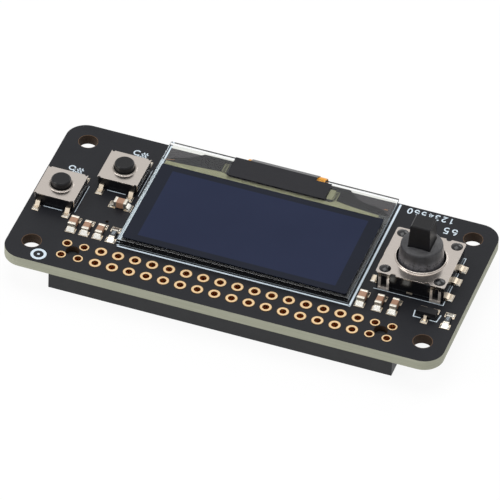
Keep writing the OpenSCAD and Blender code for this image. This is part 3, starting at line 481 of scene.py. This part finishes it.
dome = Finish("dome_plastic", {"Specular IOR Level": 0.5})
where = dome.place()
mottle = dome.noise(where, 2.6, 5.0, 0.7).above(0.5, 0.22)
bands = dome.noise(dome.stretch(where, 1.0, 1.0, 0.12), 1.6, 2.0).above(0.5, 0.2)
steel_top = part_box("joystick_cover")[1].z / MM
CROWN_RISE = 1.05
crown = dome.split(where)[2].above(steel_top + CROWN_RISE, 0.35)
# painted highlight: the sides below the crown get the lighter tone
pale = dome.mix(crown, tone(104, 103, 108), tone(50, 50, 54))
dome.set({
    "Base Color": dome.mix(mottle * 0.55 + bands * 0.45, tone(14, 14, 17), pale),
    "Roughness": 0.2 + 0.2 * mottle + 0.12 * crown,
    "Normal": dome.bump(mottle, 0.02, dome.rounded(0.12)),
})

# %% [markdown]
# ## The display's layers
#
# From the front: a dark polarizer film, the front glass, the layer that glows, a second glass and foam tape.
# The film is the only part that looks black, and the area that can glow is a shade bluer than its border.
# The glass is clear, with a trace of green in its cut edges. Its front edge is painted darker, a painted
# shade, with a harder gloss.
# Bent light finds its way to what lies under glass only by chance, which looks grainy, so light on its way
# to a lamp, or scattered by a dull surface, goes straight through.


# %% Display finishes
LIT_X, LIT_Y, COLUMNS = (-15.05, 14.35), (-6.3, 8.4), 128


def polarizer():
    """The dark film, with the area that can glow a shade bluer."""
    finish = Finish("polarizer_film", {"Specular IOR Level": 0.1})
    where = finish.place()
    x, y = finish.split(where)[:2]
    lit = x.between(*LIT_X, 0.03) * y.between(*LIT_Y, 0.03)
    haze = finish.noise(where, 0.12, 2.0)
    border = finish.mix(haze, tone(21, 25, 36), tone(26, 30, 42))
    blue = finish.mix(haze, tone(27, 34, 57), tone(32, 39, 63))
    finish.set({
        "Base Color": finish.mix(lit, border, blue),
        "Roughness": 0.16 + 0.06 * haze,
        "Normal": finish.bump(finish.noise(where, 3.0, 2.0), 0.0008, finish.rounded(0.03)),
    })


def glass():
    """Clear glass with greenish cut edges, the front one painted darker as a painted shade. Shadow and
    diffuse rays pass it unbent.
    """
    finish = Finish("display_glass", {"Transmission Weight": 1.0, "IOR": 1.3})
    where = finish.place()
    normal = finish.split(finish.node("TexCoord", output="Normal"))
    cut, front = 1 - abs(normal[2]).above(0.5, 0.05), normal[1].below(-0.5, 0.05)
    chips = finish.noise(where, 1.2, 2.0)
    # painted shade: the front cut edge gets the darker tone
    edge = finish.mix(front, tone(92, 101, 96), tone(40, 44, 42))
    finish.set({
        "Base Color": finish.mix(cut, (0.97, 0.985, 0.98), edge),
        "Roughness": 0.01 + cut * (0.03 * chips),
        "Coat Weight": front,
        "Coat IOR": 2.0,
        "Coat Roughness": 0.03,
        "Normal": finish.bump(chips * cut, 0.0002),
    })
    path, clear, blend = (finish.tree.nodes.new("ShaderNode" + kind)
                          for kind in ("LightPath", "BsdfTransparent", "MixShader"))
    shadow, diffuse = (Value(finish, path.outputs[f"Is {ray} Ray"]) for ray in ("Shadow", "Diffuse"))
    bent, straight = (Value(finish, node.outputs[0]) for node in (finish.surface, clear))
    finish.fill(blend, {0: shadow.math("MAXIMUM", diffuse), 1: bent, 2: straight})
    finish.tree.links.new(blend.outputs[0], finish.tree.nodes["Material Output"].inputs["Surface"])


def pixel_layer():
    """A fine grid of square cells with dark gaps between them."""
    finish = Finish("pixel_layer", {"Specular IOR Level": 0.3})
    x, y = finish.split(finish.place())[:2]
    pitch = (LIT_X[1] - LIT_X[0]) / COLUMNS
    column = (x / pitch).math("FRACT").between(0.12, 0.88, 0.08)
    row = (y / pitch).math("FRACT").between(0.12, 0.88, 0.08)
    finish.set({
        "Base Color": finish.mix(column * row, tone(26, 28, 34), tone(52, 58, 86)),
        "Roughness": 0.3 + 0.2 * (column * row),
    })


def film(name, dark, pale, roughness, per_mm=5.0, depth=0.004, gloss=0.4):
    """A film, a tape or a bare chip between two tones."""
    finish = Finish(name, {"Specular IOR Level": gloss})
    where = finish.place()
    marks = finish.noise(where, per_mm, 4.0, 0.6)
    finish.set({
        "Base Color": finish.mix(marks, dark, pale),
        "Roughness": roughness - 0.05 + marks * 0.1,
        "Normal": finish.bump(marks, depth),
    })


polarizer()
glass()
pixel_layer()
film("foam_tape", tone(38, 38, 40), tone(52, 52, 54), 0.8, 9.0, 0.02, 0.2)
film("silicon", tone(70, 72, 82), tone(88, 90, 102), 0.2, 2.0, 0.001)
film("flex_film", tone(206, 132, 18), tone(232, 164, 44), 0.3, 3.0, 0.003)
film("black_tape", tone(20, 20, 25), tone(27, 27, 32), 0.3, 2.0, 0.006, 0.22)

# %% [markdown]
# ## Chips with tinned ends
#
# A chip's ceramic body has metal caps at both ends. The position inside the piece's own box, from 0 to 1
# along one axis, tells how near an end is, so one finish fits every chip that lies the same way.


# %% Chip finishes
def chip_finish(name, axis, share, dark, pale, roughness):
    """A chip whose end caps each take this share of its length."""
    finish = Finish(name, {})
    where = finish.place()
    along = finish.split(finish.node("TexCoord", output="Generated"))[axis]
    caps = abs(along - 0.5).above(0.5 - share, 0.012)
    grain = finish.noise(where, 6.0, 4.0, 0.6)
    finish.set({
        "Base Color": finish.mix(caps, finish.mix(grain, dark, pale),
                                 finish.mix(grain, tone(196, 190, 178), tone(234, 228, 216))),
        "Metallic": caps,
        "Roughness": 0.3 + 0.1 * grain + (1 - caps) * (roughness - 0.3),
        "Normal": finish.bump(grain, 0.005, finish.rounded(0.08)),
    })


brown = (tone(134, 98, 76), tone(168, 130, 104))
chip_finish("capacitor_ceramic", 1, 0.221, *brown, 0.45)
chip_finish("capacitor_turned", 0, 0.221, *brown, 0.45)
chip_finish("resistor_ceramic", 1, 0.14, tone(20, 20, 22), tone(30, 30, 32), 0.4)
print("finishes:", ", ".join(sorted(Finish.made)))

# %% [markdown]
# ## Dressing the CAD nodes
#
# A table names the material slot of each CAD node, and one loop gives every node the finish of its slot.
# The joystick's base and cover and the chips that lie across keep their slot but have their own finish.


# %% Dress the nodes
def dress(piece, slot, finish=None):
    """Gives a piece the finish of a slot, or a named one, in place of what it had."""
    piece.data.materials.clear()
    piece.data.materials.append(Finish.made[finish or slot].material)


slot_of = {
    "circuit_board": "solder_mask", "plated_holes": "gold_plate", "surface_lands": "tin_plate",
    "solder_joints": "solder", "header_housing": "socket_plastic", "header_contacts": "gold_plate",
    "display_adhesive": "foam_tape", "display_cap_glass": "display_glass", "display_pixels": "pixel_layer",
    "display_front_glass": "display_glass", "display_polarizer": "polarizer_film",
    "display_driver": "silicon", "display_flex": "flex_film", "display_light_shield": "black_tape",
    "joystick_base": "switch_plastic", "joystick_cover": "stainless_sheet", "joystick_ring": "ring_plastic",
    "joystick_dome": "dome_plastic", "joystick_stick": "switch_plastic",
    "joystick_contacts": "spring_steel", "joystick_terminals": "tin_plate",
    "transistor_body": "switch_plastic", "transistor_leads": "tin_plate",
}
for key in ("button_5", "button_6"):
    slot_of.update({
        key + "_base": "switch_plastic", key + "_cover": "stainless_sheet",
        key + "_plunger": "switch_plastic", key + "_dome": "spring_steel", key + "_leads": "tin_plate",
    })
own_finish = {"joystick_base": "joystick_plastic", "joystick_cover": "joystick_sheet"}
for name, piece in nodes.items():
    if name.startswith("capacitor"):
        low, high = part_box(name)
        turned = high.x - low.x > high.y - low.y
        dress(piece, "capacitor_ceramic", "capacitor_turned" if turned else None)
    elif name.startswith("resistor"):
        dress(piece, "resistor_ceramic")
    else:
        dress(piece, slot_of[name], own_finish.get(name))
print("dressed", len(nodes), "nodes")

# %% [markdown]
# ## Printed lines
#
# The legend on the board is white ink, screen printed over the lacquer and about 20 thousandths of a
# millimetre thick. Each line is a flat ribbon with mitred corners, so that it keeps its width round a bend.
# All ribbons of one print go into one mesh.


# %% A ribbon along a line
def ribbon(grid, points, width, base, top, closed=False):
    """Adds a flat strip along some points, all in millimetres, to a bmesh."""
    points = [Vector(p).to_2d() for p in points]
    count = len(points)
    rows = []
    for i, point in enumerate(points):
        before = points[i - 1] if closed or i else None
        after = points[(i + 1) % count] if closed or i < count - 1 else None
        ways = [(b - a).normalized() for a, b in ((before, point), (point, after)) if a and b]
        middle = sum(ways, Vector((0, 0))).normalized()
        side = Vector((-middle.y, middle.x))
        miter = min(1.6, 1 / max(0.3, abs(middle.dot(ways[0]))))
        for sign in (-1, 1):
            edge = point + side * sign * width / 2 * miter
            rows.append([grid.verts.new((edge.x * MM, edge.y * MM, z * MM)) for z in (base, top)])
    pairs = [(i, (i + 1) % count) for i in range(count if closed else count - 1)]
    for a, b in pairs:
        left_a, right_a, left_b, right_b = rows[2 * a], rows[2 * a + 1], rows[2 * b], rows[2 * b + 1]
        grid.faces.new((left_a[1], left_b[1], right_b[1], right_a[1]))
        grid.faces.new((left_a[0], left_b[0], left_b[1], left_a[1]))
        grid.faces.new((right_a[1], right_b[1], right_b[0], right_a[0]))
        grid.faces.new((right_a[0], right_b[0], left_b[0], left_a[0]))
    if not closed:
        for i in (0, count - 1):
            low, high = rows[2 * i], rows[2 * i + 1]
            grid.faces.new((low[0], low[1], high[1], high[0]))


def keep(grid, name, finish, body="board", smooth=False):
    """Turns a bmesh into a piece with a finish that moves with a body."""
    bmesh.ops.recalc_face_normals(grid, faces=grid.faces)
    mesh = bpy.data.meshes.new(name)
    grid.to_mesh(mesh)
    grid.free()
    if smooth:
        mesh.shade_smooth()
    piece = bpy.data.objects.new(name, mesh)
    bpy.context.collection.objects.link(piece)
    mesh.materials.append(Finish.made[finish].material)
    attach(piece, body)
    return piece


# %% [markdown]
# ## Numbers as strokes
#
# Plain digits are drawn as strokes on a box one unit high: straight runs and parts of ellipses. The boxes
# are then laid on the board at their own size, most of them turned round to be read from the back.


# %% Digits
def arc(x, y, across, up, start, end, steps=9):
    """Part of an ellipse from one angle to another, in degrees."""
    turns = [math.radians(start + (end - start) * i / (steps - 1)) for i in range(steps)]
    return [(x + across * math.cos(t), y + up * math.sin(t)) for t in turns]


digits = {
    "0": [arc(0.3, 0.5, 0.26, 0.46, 90, 450, 17)],
    "1": [[(0.12, 0.78), (0.32, 0.96), (0.32, 0.04)]],
    "2": [arc(0.3, 0.7, 0.25, 0.26, 165, -30) + [(0.05, 0.04), (0.56, 0.04)]],
    "3": [arc(0.28, 0.73, 0.24, 0.23, 150, -90, 8) + arc(0.28, 0.27, 0.27, 0.23, 90, -150, 8)],
    "4": [[(0.58, 0.28), (0.03, 0.28), (0.42, 0.96), (0.42, 0.04)]],
    "5": [[(0.53, 0.96), (0.12, 0.96), (0.08, 0.54)] + arc(0.27, 0.33, 0.27, 0.28, 110, -140)],
    "6": [arc(0.42, 0.5, 0.36, 0.46, 110, 180, 5) + arc(0.31, 0.29, 0.25, 0.25, 180, 540, 13)],
    "#": [[(0.16, 0.1), (0.3, 0.9)], [(0.4, 0.1), (0.54, 0.9)],
          [(0.02, 0.34), (0.62, 0.34)], [(0.08, 0.66), (0.68, 0.66)]],
    " ": [],
}


def lettering(text, corner, height, pitch=0.95, turn=180):
    """The strokes of some digits. corner is where the first letter starts, and turn is in degrees."""
    along = Vector((math.cos(math.radians(turn)), math.sin(math.radians(turn)))) * height
    up = Vector((-along.y, along.x))
    return [[Vector(corner) + along * (x + place * pitch) + up * y for x, y in stroke]
            for place, letter in enumerate(text) for stroke in digits[letter]]


# %% [markdown]
# ## The legend
#
# Boxes are printed round the display, the buttons and the joystick, with gaps where terminals cross them.
# A bracket on each side marks the transistor, a ring and a dot stand at the front left corner, the buttons
# are numbered 5 and 6, and two rows of plain numbers stand behind the joystick. The numbers before each
# run of points are its line width, in millimetres like the points.

# %% Print the legend
ink = Finish("silk_ink", {"Specular IOR Level": 0.3})
pores = ink.noise(ink.place(), 9.0, 3.0)
ink.set({
    "Base Color": ink.mix(pores, tone(188, 202, 214), tone(212, 224, 232)),
    "Roughness": 0.55 + 0.15 * pores,
    "Normal": ink.bump(pores, 0.004),
})

INK_TOP = BOARD_TOP + 0.02
button_places = [(-21.45, 5.85), (-28.65, -0.65)]
sx, sy = 24.25, 1.85

legend = bmesh.new()
lines = [
    (0.25, [(-17.4, -8.2), (17.2, -8.2)]),
    (0.3, [(17.15, -8.4), (17.15, 14.8)]),
    (0.3, [(-17.4, -8.0), (-17.4, 14.8)]),
    (0.08, [(sx - 5.15, sy - 5.3), (sx + 5.1, sy - 5.3)]),
    (0.16, [(26.0, -5.7), (26.15, -7.0), (27.2, -7.0)]),
    (0.16, [(28.5, -7.0), (29.55, -7.0), (29.75, -5.5)]),
    (0.14, [(sx + 5.1, 5.7), (sx + 5.1, 7.1), (sx - 5.15, 7.1), (sx - 5.15, 5.7)]),
]
for low, high in ((-3.45, -2.5), (-0.6, 1.0), (2.9, 3.8)):
    lines.append((0.14, [(sx + 5.1, low), (sx + 5.1, high)]))
for x, y in button_places:
    for side in (-3.3, 3.3):
        lines.append((0.12, [(x - 1.4, y + side), (x + 1.4, y + side)]))
    lines.append((0.08, [(x + 3.2, y - 3.0), (x + 3.2, y + 3.0)]))
for width, points in lines:
    ribbon(legend, points, width, BOARD_TOP, INK_TOP)
ring_place = (-27.1, -13.85)
ribbon(legend, arc(*ring_place, 0.94, 0.94, 0, 345, 24), 0.4, BOARD_TOP, INK_TOP, closed=True)
ribbon(legend, arc(*ring_place, 0.1, 0.1, 0, 330, 12), 0.18, BOARD_TOP, INK_TOP, closed=True)
for number, corner in {"#5": (-19.85, 12.3), "#6": (-27.3, 5.8)}.items():
    for stroke in lettering(number, corner, 1.75, 0.72):
        ribbon(legend, stroke, 0.19, BOARD_TOP, INK_TOP)
for text, corner, height in (("65 30", (26.5, 12.5), 1.3), ("1234560", (25.3, 14.55), 1.12)):
    for stroke in lettering(text, corner, height, 0.92):
        ribbon(legend, stroke, 0.2, BOARD_TOP, INK_TOP)
legend_piece = keep(legend, "legend", "silk_ink")
print("legend faces:", len(legend_piece.data.polygons))

# %% [markdown]
# ## Wiring on the glass ledge
#
# Behind the dark film the front glass is clear. Its underside carries metal tracks that fan out from the
# driver chip to both edges, so fine that they read as an olive band. They are thin sheets here, with the
# single tracks drawn by the finish. A small ladder of trace stands on each side of the driver.

# %% Wiring finish and the fan-outs
glass_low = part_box("display_front_glass")[0] / MM
glass_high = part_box("display_front_glass")[1] / MM
film_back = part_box("display_polarizer")[1].y / MM
wiring = Finish("ledge_wiring", {"Metallic": 0.35, "Specular IOR Level": 0.3})
where = wiring.place()
across, along = wiring.split(where)[:2]
TRACK_LEAN, TRACK_PITCH = 0.35, 0.16
tracks = ((across + along * TRACK_LEAN) / TRACK_PITCH).math("FRACT").between(0.2, 0.8, 0.15)
patches = wiring.noise(where, 1.2, 3.0)
wiring.set({
    "Base Color": wiring.mix(tracks * (0.6 + 0.4 * patches), tone(92, 92, 70), tone(150, 150, 116)),
    "Roughness": 0.4 + 0.2 * patches,
    "Normal": wiring.bump(tracks, 0.003),
})


def sheet(grid, outline, base, top):
    """A thin flat sheet inside an outline, in millimetres."""
    low, high = ([grid.verts.new((x * MM, y * MM, z * MM)) for x, y in outline] for z in (base, top))
    grid.faces.new(low[::-1])
    grid.faces.new(high)
    for i, corner in enumerate(low):
        after = (i + 1) % len(low)
        grid.faces.new((corner, low[after], high[after], high[i]))


WIRE_TOP, WIRE_THICK = glass_low.z - 0.002, 0.006
fan_back = [(-16.9, 10.83), (-15.2, 10.84), (-12.1, 11.07), (-8.74, 11.3), (-7.6, 11.0), (-7.5, 10.75),
            (7.9, 10.75), (8.46, 11.29), (11.24, 10.87), (13.33, 10.69), (15.23, 10.56)]
wires = bmesh.new()
for outline in ([(-16.9, film_back - 0.1), *fan_back, (15.23, film_back - 0.1)],
                [(7.05, 11.3), (7.9, 11.3), (7.9, 13.4), (7.05, 13.4)]):
    sheet(wires, outline, WIRE_TOP - WIRE_THICK, WIRE_TOP)
LADDER_HALF, RUNG, STEP, RUNG_TOP = 0.26, 0.07, 0.3, WIRE_TOP - 0.007
for x, low, high in ((8.27, 11.34, 13.28), (-8.43, 11.4, 13.5)):
    sides = (x - LADDER_HALF, x + LADDER_HALF)
    rungs = int((high - low) / STEP)
    for side in sides:
        ribbon(wires, [(side, low), (side, low + rungs * STEP)], RUNG, WIRE_TOP - WIRE_THICK, WIRE_TOP)
    for i in range(rungs + 1):
        rung = [(side, low + i * STEP) for side in sides]
        ribbon(wires, rung, RUNG, WIRE_TOP - 2 * WIRE_THICK, RUNG_TOP)
keep(wires, "ledge_wires", "ledge_wiring")

# %% [markdown]
# ## What lies under the ledge
#
# A bead of dark sealant fills most of the step behind the second glass. At both ends it stops short and a
# grey sheet shows instead, a painted reflection of light under the glass. A white strip, slightly tapered,
# runs along the back edge, and there are two small amber marks, one of them a painted highlight at the
# sealant's right end. The outlines are lists of corners in millimetres.

# %% Sealant, tape and marks
film("seal_black", tone(10, 10, 13), tone(20, 20, 24), 0.6, 2.0, 0.01, 0.05)
# painted reflection: this grey tone stands in for light reflected under the glass
film("grey_painted_reflection", tone(50, 49, 51), tone(70, 68, 70), 0.7, 4.0, 0.01, 0.05)
film("white_ledge_strip", tone(196, 196, 190), tone(236, 236, 232), 0.7, 6.0, 0.01, 0.2)
film("amber_mark_and_glint", tone(104, 68, 30), tone(146, 98, 50), 0.4, 5.0, 0.003)

cap_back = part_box("display_cap_glass")[1].y / MM
board_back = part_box("circuit_board")[1].y / MM
SEAL_BASE, SEAL_TOP, GREY_TOP, WHITE_TOP = (BOARD_TOP + rise for rise in (0.1, 0.4, 0.05, 0.06))
LEDGE_LEFT, LEDGE_RIGHT, SLANT = -17.3, 16.6, 0.3
ledge_front, ledge_back, strip_back = cap_back + 0.05, glass_high.y - 0.42, board_back - 0.04
seal_right = [(16.3, 11.3), (15.76, 11.89), (14.9, 12.31), (13.92, 12.55), (12.88, 12.52), (11.72, 12.82),
              (10.67, 13.54), (9.68, ledge_back + 0.75 * SLANT)]
seal_left = [(-12.2, ledge_back), (-13.0, 13.6), (-14.4, 12.6), (-16.4, 11.9), (-16.9, 11.3)]
seal = bmesh.new()
sheet(seal, [(-16.9, ledge_front), (16.3, ledge_front), *seal_right, *seal_left], SEAL_BASE, SEAL_TOP)
keep(seal, "ledge_seal", "seal_black")

grey_back_edge = [(LEDGE_RIGHT, ledge_back + SLANT), (LEDGE_LEFT, ledge_back)]
grey = bmesh.new()
sheet(grey, [(LEDGE_LEFT, ledge_front), (LEDGE_RIGHT, ledge_front), *grey_back_edge], BOARD_TOP, GREY_TOP)
keep(grey, "ledge_painted_reflection", "grey_painted_reflection")
white = bmesh.new()
sheet(white, [*grey_back_edge[::-1], (LEDGE_RIGHT, strip_back), (LEDGE_LEFT, strip_back)], BOARD_TOP, WHITE_TOP)
keep(white, "edge_white_strip", "white_ledge_strip")

marks = bmesh.new()
# painted highlight: this amber patch stands in for a glint at the sealant's right end
sheet(marks, [(15.5, 12.0), (16.05, 12.0), (16.05, 12.2), (15.5, 12.2)], WIRE_TOP - WIRE_THICK, WIRE_TOP)
ribbon(marks, [(LEDGE_LEFT, 10.98), (-15.8, 11.35)], 0.1, WIRE_TOP - WIRE_THICK, WIRE_TOP)
keep(marks, "ledge_marks", "amber_mark_and_glint")
print("ledge from", round(cap_back, 2), "to", round(ledge_back, 2), "mm")

# %% [markdown]
# ## Solder pools
#
# Molten solder climbs the metal end of a chip and runs out to the edges of its land, so it starts as wide
# as the chip, flares to the land's width and thins to nothing in a hollow curve. Each pool is a small
# height field: rows step outwards, columns step across. The solder climbs a set share of the chip's height.


# %% Pools at the chips' ends
FLARE, FLARE_CURVE, HOLLOW, SWELL, BOW = 1.5, 0.8, 2.2, 0.05, 0.06


def pool(grid, wall, way, neck, width, length, rise, root, rows=8, columns=10):
    """A solder fillet from a wall point outwards. way is a flat unit vector, sizes in millimetres."""
    side = Vector((-way.y, way.x))
    mesh = []
    for row in range(rows + 1):
        t = row / rows
        half = (neck + (width - neck) * min(1.0, FLARE * t) ** FLARE_CURVE) / 2
        line = []
        for column in range(columns + 1):
            s = 2 * column / columns - 1
            lift = (rise * (1 - t) ** HOLLOW + SWELL * math.sin(math.pi * t)) * (1 - abs(s) ** 4)
            spot = wall + way * length * t * (1 - BOW * s * s) + side * half * s
            line.append(grid.verts.new((spot.x * MM, spot.y * MM, (root + lift) * MM)))
        mesh.append(line)
    for near, far in zip(mesh, mesh[1:]):
        for i in range(columns):
            grid.faces.new((near[i], near[i + 1], far[i + 1], far[i]))
    grid.faces.new(mesh[0])
    left, right = ([line[i] for line in mesh] for i in (0, -1))
    grid.faces.new([*left, *mesh[-1][1:-1], *right[::-1]])


LAND_TOP = BOARD_TOP + 0.05
LAND_REACH, LAND_WIDTH = 1.66, 1.4
CLIMB = {"capacitor": 0.48, "resistor": 0.3}
pools = bmesh.new()
chips = [name for name in nodes if name.startswith(("capacitor", "resistor"))]
for name in chips:
    low, high = (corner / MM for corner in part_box(name))
    middle, size = (low + high) / 2, high - low
    turned = size.x > size.y
    half_length, neck = (size.x / 2, size.y) if turned else (size.y / 2, size.x)
    axis = Vector((1, 0)) if turned else Vector((0, 1))
    rise = CLIMB[name.split("_")[0]] * size.z
    for way in (axis, -axis):
        wall = middle.to_2d() + way * (half_length - 0.02)
        pool(pools, wall, way, neck, LAND_WIDTH, LAND_REACH - half_length, rise, LAND_TOP)
keep(pools, "chip_solder", "solder", smooth=True)
print("solder pools:", 2 * len(chips))

# %% [markdown]
# ## Numbers on the resistors
#
# A chip resistor carries three digits: two figures and how many zeros follow them. They are printed on its
# glazed top and read along it.

# %% Print the resistors
CODE_HEIGHT, CODE_PITCH, CODE_LINE, CODE_UNDER, CODE_OVER = 0.4, 0.66, 0.045, 0.002, 0.004
CODE_ACROSS, CODE_ALONG = 0.2, 0.36
codes = bmesh.new()
for name in chips:
    if name.startswith("resistor"):
        low, high = (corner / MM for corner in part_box(name))
        start = ((low.x + high.x) / 2 + CODE_ACROSS, (low.y + high.y) / 2 - CODE_ALONG)
        for stroke in lettering("103", start, CODE_HEIGHT, CODE_PITCH, 90):
            ribbon(codes, stroke, CODE_LINE, high.z - CODE_UNDER, high.z + CODE_OVER)
keep(codes, "resistor_codes", "silk_ink")

# %% [markdown]
# ## Button plungers
#
# A plunger is a black moulded pin with a chamfered head and a flange under the cover that holds it in. Its
# outline is revolved here, slimmer and a shade lower than the plain CAD pin, and rides on the moving body.
# A narrow steel lip closes the rest of the cover's hole and leaves a small running gap.


# %% Revolve the plungers
def revolve(grid, outline, x, y, turns=64):
    """Spins an outline of radius and height, in millimetres, round an upright axis."""
    rings = []
    for radius, z in outline:
        count = turns if radius else 1
        rings.append([grid.verts.new(((x + radius * math.cos(2 * math.pi * i / count)) * MM,
                                      (y + radius * math.sin(2 * math.pi * i / count)) * MM, z * MM))
                      for i in range(count)])
    for low, high in zip(rings, rings[1:]):
        for i in range(turns):
            j = (i + 1) % turns
            corners = [low[i % len(low)], low[j % len(low)], high[j % len(high)], high[i % len(high)]]
            grid.faces.new(list(dict.fromkeys(corners)))


PIN_R, DROP, CHAMFER, RUNNING_GAP = 1.42, 0.12, 0.2, 0.07
NIB_R, NIB_HEIGHT, FLANGE_DROP = 0.9, 0.12, 0.35
LIP_R, LIP_DEPTH, LIP_SHOULDER = 1.72, 0.2, 1.64
for key in ("button_5", "button_6"):
    low, high = (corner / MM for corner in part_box(key + "_plunger"))
    cover_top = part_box(key + "_cover")[1].z / MM
    x, y, flange_r = (low.x + high.x) / 2, (low.y + high.y) / 2, (high.x - low.x) / 2
    top, flange_top, flange_base = high.z - DROP, cover_top - FLANGE_DROP, low.z + NIB_HEIGHT
    pin = bmesh.new()
    revolve(pin, [(0, low.z), (NIB_R, low.z), (NIB_R, flange_base), (flange_r, flange_base),
                  (flange_r, flange_top), (PIN_R, flange_top), (PIN_R, top - 1.2 * CHAMFER),
                  (PIN_R - 0.2 * CHAMFER, top - 0.8 * CHAMFER), (PIN_R - 0.9 * CHAMFER, top - 0.08 * CHAMFER),
                  (PIN_R - 1.2 * CHAMFER, top), (0, top)], x, y)
    piece = keep(pin, key + "_pin", "switch_plastic", body=key + "_key")
    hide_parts(key + "_plunger")
    inner, lip_base = PIN_R + RUNNING_GAP, cover_top - LIP_DEPTH
    lip = bmesh.new()
    revolve(lip, [(inner, lip_base), (LIP_R, lip_base), (LIP_R, cover_top - 0.02),
                  (LIP_SHOULDER, cover_top), (inner + 0.05, cover_top), (inner, cover_top - 0.04),
                  (inner, lip_base)], x, y)
    keep(lip, key + "_lip", "lip_steel_painted_shade")
    print(key, "pin radius", PIN_R, "top", round(top, 2), "cover top", round(cover_top, 2))
